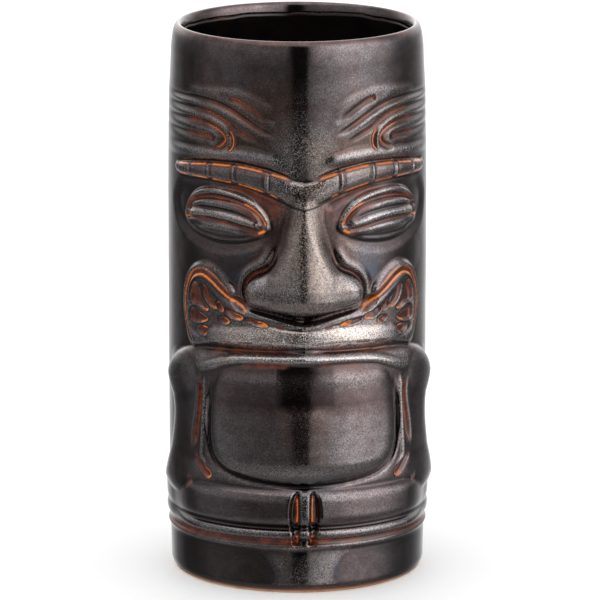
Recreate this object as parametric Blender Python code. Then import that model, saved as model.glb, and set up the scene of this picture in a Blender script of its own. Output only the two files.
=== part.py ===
"""Tiki mug: a slip-cast stoneware tumbler carved all over its front, with its
two glaze coats.

Frame: metres, +Z up, the face looks along -Y, +X is to the right of someone
looking at the face.  The origin is on the drum's axis, in the plane the mug
stands on.

Pieces, as a potter would list them:
  clay_body     the cast shell with its flat foot
  outer_glaze   the coat outside, over the lip and a little way down inside
  liner_glaze   the coat poured inside

Each coat lies on the clay with a small gap, so the three are separate solids.
"""
import bpy
import bmesh
import numpy as np
from math import pi, radians, sin, cos, hypot

MM = 0.001

# ---------------------------------------------------------------- dimensions
HEIGHT = 171.5          # top of the lip, mm
R_BODY = 39.9           # drum, measured over the glaze
R_FOOT = 39.2           # the drum just above the foot
R_TOP = 39.0            # the drum just below the lip
R_INNER = 34.9          # mouth, over the glaze
R_INNER_LOW = 34.0      # bottom of the cup, over the glaze
LIP_CENTRE = (36.85, 168.6)   # centre of the rounded lip, radius and height
FLOOR_TOP = 7.6         # inside floor, over the glaze
FLOOR_FILLET = 8.0
GLAZE = 0.5             # thickness of a coat
GAP = 0.3               # clearance under a coat
GLAZE_START = 1.5       # the outer coat stops this high above the table
WRAP_END = 168.3        # and this high inside the mouth
LINER_START = 167.7     # the liner starts just under it
OUTER_TRIANGLES = 3400  # budget for one copy of the carved surface
RING = 44               # corners round the inside

K = R_BODY * pi / 180.0  # arc length of one degree on the drum, mm


# ------------------------------------------------------------ carving tools
def ramp(lo, hi, x):
    t = np.clip((x - lo) / (hi - lo), 0.0, 1.0)
    return t * t * (3.0 - 2.0 * t)


def curve(points, closed=False, step=5):
    """Smooth curve through (degrees from the front, height) points, arc mm."""
    p = [np.array((a * K, z), float) for a, z in points]
    n = len(p)
    out = []
    for i in range(n if closed else n - 1):
        if closed:
            a, b, c, d = p[i - 1], p[i], p[(i + 1) % n], p[(i + 2) % n]
        else:
            b, c = p[i], p[i + 1]
            a = p[i - 1] if i else 2 * b - c
            d = p[i + 2] if i + 2 < n else 2 * c - b
        for k in range(step):
            t = k / step
            out.append(0.5 * (2 * b + (c - a) * t
                              + (2 * a - 5 * b + 4 * c - d) * t * t
                              + (3 * b - a - 3 * c + d) * t ** 3))
    out.append(p[0] if closed else p[-1])
    return np.array(out)


class Relief:
    """Height of the carving above the drum, at arc S and height Z (mm)."""

    def __init__(self, S, Z):
        self.S, self.Z = S, Z
        self.A = S / K
        self.h = np.zeros_like(S)

    def _near(self, q, reach):
        lo, hi = q.min(0) - reach, q.max(0) + reach
        m = ((self.S > lo[0]) & (self.S < hi[0])
             & (self.Z > lo[1]) & (self.Z < hi[1]))
        s, z = self.S[m], self.Z[m]
        best = np.full(s.shape, 1e9)
        at = np.zeros(s.shape)
        odd = np.zeros(s.shape, bool)
        seg = np.diff(q, axis=0)
        size = np.hypot(seg[:, 0], seg[:, 1])
        run = np.concatenate([[0], np.cumsum(size)])
        for i, (a, e, n) in enumerate(zip(q[:-1], seg, size)):
            if n < 1e-9:
                continue
            t = np.clip(((s - a[0]) * e[0] + (z - a[1]) * e[1]) / n ** 2, 0, 1)
            d = np.hypot(s - a[0] - t * e[0], z - a[1] - t * e[1])
            k = d < best
            best[k] = d[k]
            at[k] = ((run[i] + t * n) / run[-1])[k]
            if e[1]:
                odd ^= (((a[1] > z) != (a[1] + e[1] > z))
                        & (s < e[0] * (z - a[1]) / e[1] + a[0]))
        return m, best, at, odd

    def line(self, points, half, rise, ends=(0.15, 0.15)):
        """A rounded ridge (rise over 0) or groove (under 0) along a curve."""
        m, d, t, _ = self._near(curve(points), half)
        w = np.ones_like(t)
        if ends[0]:
            w = w * ramp(0, ends[0], t)
        if ends[1]:
            w = w * ramp(0, ends[1], 1 - t)
        self.h[m] += rise * np.clip(1 - (d / half) ** 2, 0, 1) ** 2 * w

    def panel(self, points, edge, reach=9.0):
        """0 outside a smooth outline, rising to 1 over edge inside it."""
        m, d, _, odd = self._near(curve(points, True), reach)
        out = np.zeros_like(self.S)
        out[m] = ramp(0, edge, np.where(odd, d, -d))
        return out

    def dome(self, a, z, ra, rz, tilt=0.0, power=1.0):
        """0 to 1 over an ellipse with half axes ra degrees and rz mm."""
        x, y = self.S - a * K, self.Z - z
        c, s = cos(radians(tilt)), sin(radians(tilt))
        x, y = x * c + y * s, -x * s + y * c
        return np.clip(1 - (x / (ra * K)) ** 2 - (y / rz) ** 2, 0, 1) ** power

    def merge(self, level, soft=0.6):
        """Blend in a mass, as two lumps of clay blend."""
        d = np.clip(0.5 + 0.5 * (level - self.h) / soft, 0, 1)
        self.h = self.h * (1 - d) + level * d + soft * d * (1 - d)


# ------------------------------------------------------------- the carving
def carve(S, Z):
    """The whole carving.  S is mirrored, so one half describes both."""
    f = Relief(S, Z)
    A = f.A

    # hair: swept lines above the brow, which run on round the sides
    f.line([(12, 149), (22, 153.4), (33, 155.2), (48, 154.8), (64, 154)], 2.2, 0.55)
    f.line([(13, 147.2), (20, 149.2), (27, 152), (34, 153.8)], 1.5, -1.0)
    f.line([(10, 145), (20, 149), (30, 151.6), (38, 153.4), (50, 154.4)], 1.6, 0.5)
    f.line([(13, 142.6), (20, 145), (27, 147.5), (33, 149.8), (42, 151.6),
            (60, 152.6), (95, 152.6)], 1.6, -0.95, (0.1, 0.35))
    f.line([(12, 141.6), (20, 144.3), (33, 148), (45, 150.3), (60, 150.9), (92, 150.7)],
           1.5, 0.55)
    f.line([(20, 141), (29, 143.6), (37, 146.3), (45, 148.3), (55, 149.2),
            (75, 149.2), (104, 148.8)], 1.5, -0.9, (0.15, 0.3))
    f.line([(36, 145.4), (33.4, 143.4), (32.3, 141), (32.8, 138.8), (34.6, 137.2)],
           1.2, -0.8)
    f.line([(38, 137.4), (35.3, 139.4), (35, 141.8), (37.5, 144.4), (43, 146.3),
            (52, 147.1), (75, 147.3), (98, 147)], 1.3, 0.5)
    f.line([(43, 137.6), (39.6, 138.2), (37.3, 139.6), (36.8, 141.4), (38.8, 143.2),
            (44, 144.7), (52, 145.4), (70, 145.7), (108, 145.2)], 1.4, -0.95, (0.08, 0.3))
    f.line([(47, 139), (42.3, 139.8), (41, 141.4), (43.6, 143), (54, 143.5),
            (96, 143.3)], 1.3, 0.45)
    f.line([(43.6, 141.2), (52, 141.2), (68, 141.3), (104, 141)], 1.3, -0.9, (0.04, 0.3))
    f.line([(50, 138.8), (70, 138.9), (98, 138.8)], 1.4, 0.4)

    # brow: a soft roll over a jointed band
    f.line([(9, 135.3), (20, 136.6), (32, 137.2), (48, 136.6), (64, 135.8),
            (90, 134.6), (118, 134)], 2.4, 0.8, (0.1, 0.3))
    f.h -= 0.9 * f.panel([(8, 120.5), (20, 126.5), (34, 128), (52, 128), (68, 127),
                          (74, 119), (66, 110.5), (42, 107), (22, 108.5), (12, 113)], 4.5)
    band = f.panel([(-7, 120.4), (0, 120.6), (10, 123.3), (16, 125.2), (24, 126.7),
                    (31, 127.7), (44.5, 128.1), (58, 127.9), (67, 127.6), (70.6, 129),
                    (68.5, 131), (57, 132.3), (44, 133.5), (31, 133.8), (16, 132.4),
                    (4, 129.4), (-7, 128.6)], 1.1)
    f.h = np.where(band > 0, np.maximum(f.h, 0) * (1 - band) + band * 1.5
                   + f.h.clip(max=0) * (1 - band), f.h)
    f.line([(4, 129.2), (16, 132.3), (31, 133.7), (44, 133.4), (57, 132.2), (68, 131)],
           0.9, -0.9, (0.1, 0.05))
    for a, z0, z1 in ((16.2, 125.2, 132.3), (31.4, 127.6, 133.6), (44.9, 128.1, 133.3),
                      (58, 127.9, 132.2)):
        f.line([(a, z0), (a + 0.4, (z0 + z1) / 2), (a, z1)], 0.8, 0.5, (0.05, 0.05))

    # eye: a closed almond with a raised rim and long folds
    lid = [(15.6, 114.6), (20, 119.8), (28, 123), (38, 124.6), (48, 124.4), (56, 122),
           (60.6, 118.4), (60.6, 114.6), (56, 112), (47, 110.4), (36, 110), (25, 111),
           (18, 112.8)]
    f.h += 1.7 * f.panel(lid, 2.2)
    f.line(lid[:8], 1.3, 0.5, (0.1, 0.0))
    f.line([(18.5, 117), (24, 120.6), (33, 122.7), (43, 123.1), (52, 121.7), (58.5, 118.8)],
           1.1, -0.8)
    f.line([(18, 114.8), (25, 117.8), (35, 119.4), (46, 119.6), (58, 118.4)], 1.2, -0.7)
    f.line([(19, 113.4), (27, 114.8), (36, 116), (48, 116.4), (59, 115.8)], 1.1, -0.7)

    # nose: a long wedge with round wings
    half = np.interp(Z, [88, 92, 97, 101, 106, 112, 117, 124], [11, 13, 13, 12, 10.5, 8, 6.2, 5]) * K
    crest = np.interp(Z, [89, 90.4, 92, 94.5, 98, 103, 108, 114, 119, 124],
                      [1.5, 4.4, 5.9, 6.8, 6.9, 5.9, 4.8, 3.4, 2.3, 1.5])
    crest = np.where((Z > 88) & (Z < 125), crest, 0) * ramp(88.6, 90, Z)
    bridge = crest * np.clip(1 - (S / half) ** 2, 0, 1) ** 0.75
    f.merge(np.where(bridge > 0, bridge, -9), 0.5)
    wing = 4.6 * f.dome(17, 95.6, 9.0, 6.2, 0, 0.6)
    f.merge(np.where(wing > 0, wing, -9), 0.8)
    f.line([(9.5, 112), (11.5, 106.5), (13.5, 102.8), (18, 101.4), (22.6, 99.6),
            (25.6, 96.5), (26, 93), (23.5, 90.6)], 1.2, -1.0)
    f.line([(11.5, 113.5), (14.5, 107.5), (18.5, 103.6), (24, 101.2), (27.7, 97.8),
            (28.6, 93.5), (29, 90.8)], 1.9, 1.3)

    # mouth: a long snarl that turns up at its corners
    f.h += 2.4 * f.panel([(-8, 76.4), (20, 76.6), (44, 75.4), (56, 74.5), (60.5, 82),
                          (61.6, 90), (59, 96), (54, 100.6), (46, 102.4), (38, 100.2),
                          (31, 96), (27, 91), (14, 89.2), (0, 86.6), (-8, 86.4)], 3.4)
    f.line([(0, 86.4), (8, 87.6), (16, 89), (24, 90)], 1.3, -2.0, (0.0, 0.2))
    f.line([(31, 92.8), (36, 95.6), (41, 98.4), (46, 99.9), (51, 99.6), (55.6, 96.8),
            (58.4, 91.6), (58.6, 86), (57, 80), (53.5, 75.8)], 1.1, -1.1, (0.06, 0.06))
    corner = f.panel([(26, 87.2), (33, 91.6), (42, 96.4), (48, 98), (53.4, 96.8),
                      (56.6, 91), (56.4, 84), (53, 78.6), (44, 79.4), (41.6, 83),
                      (31, 83.2)], 1.3)
    f.h -= 1.9 * corner
    for tooth in ([(40.6, 88.6), (43.6, 88.8), (46.4, 94.6), (44.6, 95.2)],
                  [(44.6, 87.6), (48.6, 89.6), (54.4, 91), (51, 96.2), (48.6, 94)],
                  [(43, 85), (48, 83.4), (53.6, 83.6), (53.8, 87.4), (48, 86.8)],
                  [(43.8, 82.8), (46, 79.8), (51, 80.6), (49.6, 82.4)],
                  [(26.4, 85.9), (33.6, 87.4), (34.4, 88.9), (27, 87.6)],
                  [(35.6, 87.6), (40, 89), (39.4, 91.2), (36.2, 89.8)],
                  [(31.8, 84), (37, 84.6), (37.6, 86.2), (33, 85.8)]):
        f.h += 1.4 * f.panel(tooth, 0.8, 2.0)
    f.line([(0, 83.6), (8, 84), (16, 84.9), (26, 86.4)], 0.9, -0.9, (0, 0.1))
    f.h += 1.1 * f.dome(0, 79.6, 44, 4.4, 0, 1.0)
    f.line([(0, 76.4), (20, 76.5), (34, 75.7), (45, 74.6)], 0.8, -0.9, (0, 0.15))

    # shoulders, arms and hands
    arm = [(36, 76), (52, 75.6), (62, 73.6), (71, 70.2), (77.4, 65.6), (75, 59.6),
           (72, 54), (73.4, 47), (77, 39), (83.4, 33), (83, 29), (75, 27.4), (62, 27.6),
           (50, 31), (40, 36), (38, 50), (37, 64)]
    f.merge(np.where(f.panel(arm, 0.5) > 0, 2.3 * f.panel(arm, 4.5), -9), 0.3)
    f.h += 0.9 * f.dome(62, 64, 17, 9) + 1.0 * f.dome(70, 33, 16, 8, 0)
    f.h += 1.3 * f.panel([(-8, 72.6), (20, 72.4), (33, 71), (40, 66), (50, 66), (58, 70),
                          (50, 75.4), (36, 76), (20, 76.8), (-8, 76.8)], 1.8)
    f.line([(48.6, 65), (47.6, 61), (48.6, 55.5), (50.4, 50), (51.4, 44)], 1.4, -1.5)

    # belly: a broad pad in a thin frame
    belly = [(-8, 34.8), (0, 34.7), (14, 35.3), (28, 36.8), (37, 39.2), (41.6, 43.6),
             (42.4, 52), (41.6, 60), (40.6, 66), (36.6, 70.6), (24, 72.4), (0, 72.8),
             (-8, 72.8)]
    pad = f.panel(belly, 2.8, 12.0)
    swell = 4.3 + 0.9 * f.dome(0, 50, 46, 24)
    f.h = np.where(pad > 0, np.maximum(f.h, 1.6) * (1 - pad) + pad * swell, f.h)
    f.line([(42.8, 65.4), (43.4, 58), (43.8, 50), (43, 43.6), (38.5, 39), (30, 36.4),
            (16, 34.7), (0, 34.0)], 1.1, -1.2, (0.08, 0))
    f.line([(45.4, 65.6), (45.9, 58), (46.3, 50), (45.8, 42)], 1.3, 0.9)
    f.line([(50.5, 40.6), (46.5, 38.8), (42.2, 36.4)], 1.2, -1.2)
    f.line([(53.2, 34.4), (54.4, 32), (57.6, 30)], 1.1, -1.0)

    # legs and feet: two rolls that run on round the back
    front = 1 - ramp(50, 74, A)
    thigh = np.clip(1 - ((Z - 27.6) / 6.6) ** 2, 0, 1) ** 0.7
    f.merge(np.where(thigh > 0, (1.5 + 3.1 * front) * thigh, -9), 0.5)
    foot = np.clip(1 - ((Z - 18.4) / 3.3) ** 2, 0, 1) ** 0.7
    f.merge(np.where(foot > 0, (0.9 + 3.0 * front) * foot, -9), 0.5)
    f.h -= 1.5 * f.panel([(2.1, 16), (3, 15.8), (4.6, 16.4), (4.8, 24), (4.4, 31.2),
                          (3.2, 31.8), (2.1, 31)], 0.7)
    return f.h


# ----------------------------------------------------------- turned profile
def drum(z):
    """Radius of the plain drum, over the glaze."""
    return np.interp(z, [0, 1.5, 3.0, 14, 24, 60, 120, 150, 160, 164],
                     [R_FOOT - 1.3, R_FOOT - 0.35, R_FOOT + 0.1, R_FOOT + 0.3, R_BODY - 0.1,
                      R_BODY, R_BODY, R_BODY - 0.35, R_TOP, R_TOP - 0.15])


def lip():
    """Outer side of the lip, over the crest and into the mouth (r, z)."""
    rc, zc = LIP_CENTRE
    top = HEIGHT - zc
    out = [(R_TOP - 0.15, 164.0), (R_TOP - 0.45, 167.0)]
    for i in range(7):
        a = radians(15 + 150 * i / 6)
        wide = (R_TOP - 0.85 - rc) if a < pi / 2 else (rc - R_INNER)
        out.append((rc + wide * cos(a) / cos(radians(15)), zc + top * sin(a)))
    out.append((R_INNER, WRAP_END))
    return out


def away(r, z):
    """Direction out of the wall, in the plane through the axis."""
    rc, zc = LIP_CENTRE
    if z <= zc:
        return (1.0, 0.0) if r > rc else (-1.0, 0.0)
    d = hypot(r - rc, z - zc)
    return ((r - rc) / d, (z - zc) / d)


# --------------------------------------------------------------- mesh tools
def clear_scene():
    for ob in list(bpy.data.objects):
        bpy.data.objects.remove(ob, do_unlink=True)


def carved_wall():
    """The carved wall between foot and lip, thinned by Decimate."""
    cols = sorted(list(np.arange(-96, 96, 2.0)) + list(np.arange(96, 264, 4.0)))
    zz = np.array([3.0, 6.0, 10.0, 13.4] + list(np.arange(14.2, 157.5, 0.9)) + [159.0, 161.5])
    rows = zz
    u = np.radians(np.array(cols))
    mirrored = np.abs((np.array(cols) + 180) % 360 - 180) * K
    S, Z = np.meshgrid(mirrored, zz)
    R = drum(Z) + carve(S, Z)
    bm = bmesh.new()
    grid = [[bm.verts.new((R[j, i] * sin(a) * MM, -R[j, i] * cos(a) * MM, zz[j] * MM))
             for i, a in enumerate(u)] for j in range(len(rows))]
    n = len(cols)
    for j in range(len(rows) - 1):
        for i in range(n):
            k = (i + 1) % n
            bm.faces.new((grid[j][i], grid[j][k], grid[j + 1][k], grid[j + 1][i]))
    mesh = bpy.data.meshes.new("skin")
    bm.to_mesh(mesh)
    bm.free()
    ob = bpy.data.objects.new("skin", mesh)
    bpy.context.scene.collection.objects.link(ob)
    thin = ob.modifiers.new("thin", "DECIMATE")
    thin.ratio = OUTER_TRIANGLES / (2.0 * len(mesh.polygons))
    thin.use_collapse_triangulate = True
    graph = bpy.context.evaluated_depsgraph_get()
    done = ob.evaluated_get(graph).to_mesh()
    verts = [(v.co.x / MM, v.co.y / MM, v.co.z / MM) for v in done.vertices]
    faces = [tuple(p.vertices) for p in done.polygons]
    ob.evaluated_get(graph).to_mesh_clear()
    bpy.data.objects.remove(ob, do_unlink=True)
    bpy.data.meshes.remove(mesh)
    return verts, faces


def turn(v):
    """Angle of a point round the axis, from the front."""
    return float((np.arctan2(v[0], -v[1]) + 2 * pi) % (2 * pi))


def stitch(verts, a, b):
    """Triangles between two rings of any sizes; a is the lower one outside."""
    a, b = (sorted(q, key=lambda i: turn(verts[i])) for q in (a, b))
    ta, tb = ([turn(verts[i]) for i in q] + [turn(verts[q[0]]) + 2 * pi] for q in (a, b))
    out = []
    i = j = 0
    while i < len(a) or j < len(b):
        if j >= len(b) or (i < len(a) and ta[i + 1] <= tb[j + 1]):
            out.append((a[i % len(a)], a[(i + 1) % len(a)], b[j % len(b)]))
            i += 1
        else:
            out.append((a[i % len(a)], b[(j + 1) % len(b)], b[j % len(b)]))
            j += 1
    return out


def carved_skin():
    """The carved wall with its foot edge and its rolled lip."""
    verts, faces = carved_wall()
    low, high = rims(verts, faces)

    def add_ring(r, z):
        n = len(verts)
        verts.extend((r * sin(2 * pi * i / RING), -r * cos(2 * pi * i / RING), z)
                     for i in range(RING))
        return list(range(n, n + RING))

    faces += stitch(verts, add_ring(R_FOOT - 0.35, GLAZE_START), [a for a, _ in low])
    below = [a for a, _ in high]
    for r, z in lip():
        ring = add_ring(r, z)
        faces += stitch(verts, below, ring)
        below = ring
    return verts, faces


def sink(verts, depth):
    """The skin's own corners, moved into the wall by depth."""
    out = []
    for x, y, z in verts:
        r = hypot(x, y)
        dr, dz = away(r, z)
        out.append((x * (r - depth * dr) / r, y * (r - depth * dr) / r, z - depth * dz))
    return out


class Solid:
    def __init__(self):
        self.bm = bmesh.new()

    def add(self, verts):
        return [self.bm.verts.new((x * MM, y * MM, z * MM)) for x, y, z in verts]

    def face(self, *v):
        self.bm.faces.new(v)

    def skin(self, verts, faces, flip=False):
        v = self.add(verts)
        for f in faces:
            c = [v[i] for i in f]
            self.face(*(reversed(c) if flip else c))
        return v

    def ring(self, r, z):
        return self.add([(r * sin(2 * pi * i / RING), -r * cos(2 * pi * i / RING), z)
                         for i in range(RING)])

    def strip(self, a, b):
        n = len(a)
        for i in range(n):
            k = (i + 1) % n
            self.face(a[i], a[k], b[k], b[i])

    def make(self, name, colour, roughness, metallic):
        mesh = bpy.data.meshes.new(name)
        bmesh.ops.triangulate(self.bm, faces=[f for f in self.bm.faces if len(f.verts) == 4])
        self.bm.to_mesh(mesh)
        self.bm.free()
        mesh.shade_smooth()
        mesh.set_sharp_from_angle(angle=radians(50))
        ob = bpy.data.objects.new(name, mesh)
        bpy.context.scene.collection.objects.link(ob)
        mat = bpy.data.materials.new(name)
        mat.use_nodes = True
        p = mat.node_tree.nodes["Principled BSDF"]
        p.inputs["Base Color"].default_value = (*colour, 1)
        p.inputs["Roughness"].default_value = roughness
        p.inputs["Metallic"].default_value = metallic
        mat.diffuse_color = (*colour, 1)
        mesh.materials.append(mat)
        return ob


def rims(verts, faces):
    """Indices of the skin's two open edges: at the foot, and inside the lip."""
    seen = {}
    for f in faces:
        for a, b in zip(f, f[1:] + f[:1]):
            seen[(a, b)] = 1
    edge = [(a, b) for a, b in seen if (b, a) not in seen]
    low = [e for e in edge if verts[e[0]][2] < 80]
    high = [e for e in edge if verts[e[0]][2] >= 80]
    return low, high


def inner_profile(depth):
    """The cup's inside from LINER_START to the floor, sunk by depth (r, z)."""
    out = [(R_INNER + depth, LINER_START)]
    for z in (150, 132, 114, 96, 78, 60, 42, 28):
        t = (LINER_START - z) / (LINER_START - 16.0)
        out.append((R_INNER + (R_INNER_LOW - R_INNER) * t + depth, z))
    rc, zc = R_INNER_LOW - FLOOR_FILLET, FLOOR_TOP + FLOOR_FILLET
    for i in range(6):
        a = radians(90 * i / 5)
        q = FLOOR_FILLET + depth
        out.append((rc + q * cos(a), zc - q * sin(a)))
    return out


# -------------------------------------------------------------------- build
clear_scene()
skin, tris = carved_skin()
low, high = rims(skin, tris)
coat = sink(skin, GLAZE)
clay = sink(skin, GLAZE + GAP)

# outer coat: the carved skin and its copy underneath, closed at both edges
s = Solid()
top = s.skin(skin, tris)
under = s.skin(coat, tris, flip=True)
for a, b in low + high:
    s.face(top[b], top[a], under[a], under[b])
s.make("outer_glaze", (0.075, 0.062, 0.058), 0.3, 0.35)

# clay: the same skin again, with a foot, a cup and a lip of its own
s = Solid()
body = s.skin(clay, tris)
foot = [body[i] for i in sorted((a for a, _ in low), key=lambda i: turn(skin[i]))]
edge = s.ring(R_FOOT - 0.95, 0.7)
heel = s.ring(R_FOOT - 1.8, 0.0)
s.strip(edge, foot)
s.strip(heel, edge)
hub = s.add([(0, 0, 0)])[0]
for i in range(RING):
    s.face(heel[(i + 1) % RING], heel[i], hub)
mouth = [body[i] for i in sorted((a for a, _ in high), key=lambda i: turn(skin[i]))]
rings = [s.ring(r, z) for r, z in inner_profile(GLAZE + GAP)]
s.strip(mouth, rings[0])
for a, b in zip(rings[:-1], rings[1:]):
    s.strip(a, b)
hub = s.add([(0, 0, FLOOR_TOP - GLAZE - GAP)])[0]
for i in range(RING):
    s.face(rings[-1][i], rings[-1][(i + 1) % RING], hub)
s.make("clay_body", (0.62, 0.42, 0.28), 0.8, 0.0)

# liner: a cup within the cup
s = Solid()
inside = [s.ring(r, z) for r, z in inner_profile(0.0)]
behind = [s.ring(r, z) for r, z in inner_profile(GLAZE)]
s.strip(behind[0], inside[0])
for a, b in zip(inside[:-1], inside[1:]):
    s.strip(a, b)
for a, b in zip(behind[:-1], behind[1:]):
    s.strip(b, a)
hub = s.add([(0, 0, FLOOR_TOP)])[0]
back = s.add([(0, 0, FLOOR_TOP - GLAZE)])[0]
for i in range(RING):
    k = (i + 1) % RING
    s.face(inside[-1][i], inside[-1][k], hub)
    s.face(behind[-1][k], behind[-1][i], back)
s.make("liner_glaze", (0.006, 0.006, 0.006), 0.12, 0.0)
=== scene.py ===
import bpy
import numpy as np
from math import pi, radians, sin, cos, hypot, sqrt
from mathutils import Matrix, Vector


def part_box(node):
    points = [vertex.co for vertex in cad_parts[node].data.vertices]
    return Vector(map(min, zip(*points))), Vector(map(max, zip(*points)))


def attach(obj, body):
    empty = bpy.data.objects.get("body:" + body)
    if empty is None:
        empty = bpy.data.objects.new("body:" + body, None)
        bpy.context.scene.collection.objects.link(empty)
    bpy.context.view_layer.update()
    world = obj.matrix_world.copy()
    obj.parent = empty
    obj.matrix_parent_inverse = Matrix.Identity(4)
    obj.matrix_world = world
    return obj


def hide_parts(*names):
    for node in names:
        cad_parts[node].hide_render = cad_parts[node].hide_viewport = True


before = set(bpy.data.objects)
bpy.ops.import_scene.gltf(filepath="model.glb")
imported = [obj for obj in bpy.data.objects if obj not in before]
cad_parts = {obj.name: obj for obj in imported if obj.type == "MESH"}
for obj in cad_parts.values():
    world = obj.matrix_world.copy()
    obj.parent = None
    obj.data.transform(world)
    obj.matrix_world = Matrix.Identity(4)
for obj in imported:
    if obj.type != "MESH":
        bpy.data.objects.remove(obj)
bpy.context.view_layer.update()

MM = 0.001
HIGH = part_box("outer_glaze")[1][2] / MM          # the lip's crest, mm
SCN = bpy.context.scene

# =========================================================== camera and light
def make_camera():
    cam = bpy.data.cameras.new("camera")
    ob = bpy.data.objects.new("camera", cam)
    SCN.collection.objects.link(ob)
    az, pitch, yaw, roll = radians(-3.1), radians(12.62), 0.000503, radians(0.0)
    d = Vector((-sin(az), cos(az), 0))
    right = Vector((cos(az), sin(az), 0))
    up = Vector((0, 0, 1))
    fwd = d * cos(yaw) + right * sin(yaw)
    right = right * cos(yaw) - d * sin(yaw)
    look = fwd * cos(pitch) - up * sin(pitch)
    top = up * cos(pitch) + fwd * sin(pitch)
    r2 = right * cos(roll) + top * sin(roll)
    t2 = top * cos(roll) - right * sin(roll)
    m = Matrix((r2, t2, -look)).transposed().to_4x4()
    m.translation = Vector((-0.09116, -1.68324, 0.46116))
    ob.matrix_world = m
    cam.sensor_width = 36.0
    cam.lens = 333.76
    cam.clip_start, cam.clip_end = 0.05, 30
    SCN.camera = ob


def ramp_node(nt, stops, interpolation="LINEAR"):
    """A colour ramp from (position, value or colour) pairs."""
    node = nt.nodes.new("ShaderNodeValToRGB")
    cr = node.color_ramp
    cr.interpolation = interpolation
    while len(cr.elements) > 1:
        cr.elements.remove(cr.elements[-1])
    for i, (at, v) in enumerate(stops):
        e = cr.elements[0] if i == 0 else cr.elements.new(at)
        e.position = at
        e.color = (v, v, v, 1) if isinstance(v, (int, float)) else tuple(v) + (1,)
    return node


def math_node(nt, op, a, b=None, c=None, clamp=False):
    node = nt.nodes.new("ShaderNodeMath")
    node.operation = op
    node.use_clamp = clamp
    for i, v in enumerate((a, b, c)):
        if v is None:
            continue
        if isinstance(v, (int, float)):
            node.inputs[i].default_value = v
        else:
            nt.links.new(v, node.inputs[i])
    return node.outputs[0]


def mix_node(nt, fac, a, b, mode="MIX"):
    node = nt.nodes.new("ShaderNodeMix")
    node.data_type = "RGBA"
    node.blend_type = mode
    node.clamp_factor = True
    for sock, v in ((node.inputs[0], fac), (node.inputs[6], a), (node.inputs[7], b)):
        if isinstance(v, (int, float)):
            sock.default_value = v if sock == node.inputs[0] else (v, v, v, 1)
        elif isinstance(v, tuple):
            sock.default_value = v + (1,)
        else:
            nt.links.new(v, sock)
    return node.outputs[2]


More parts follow.
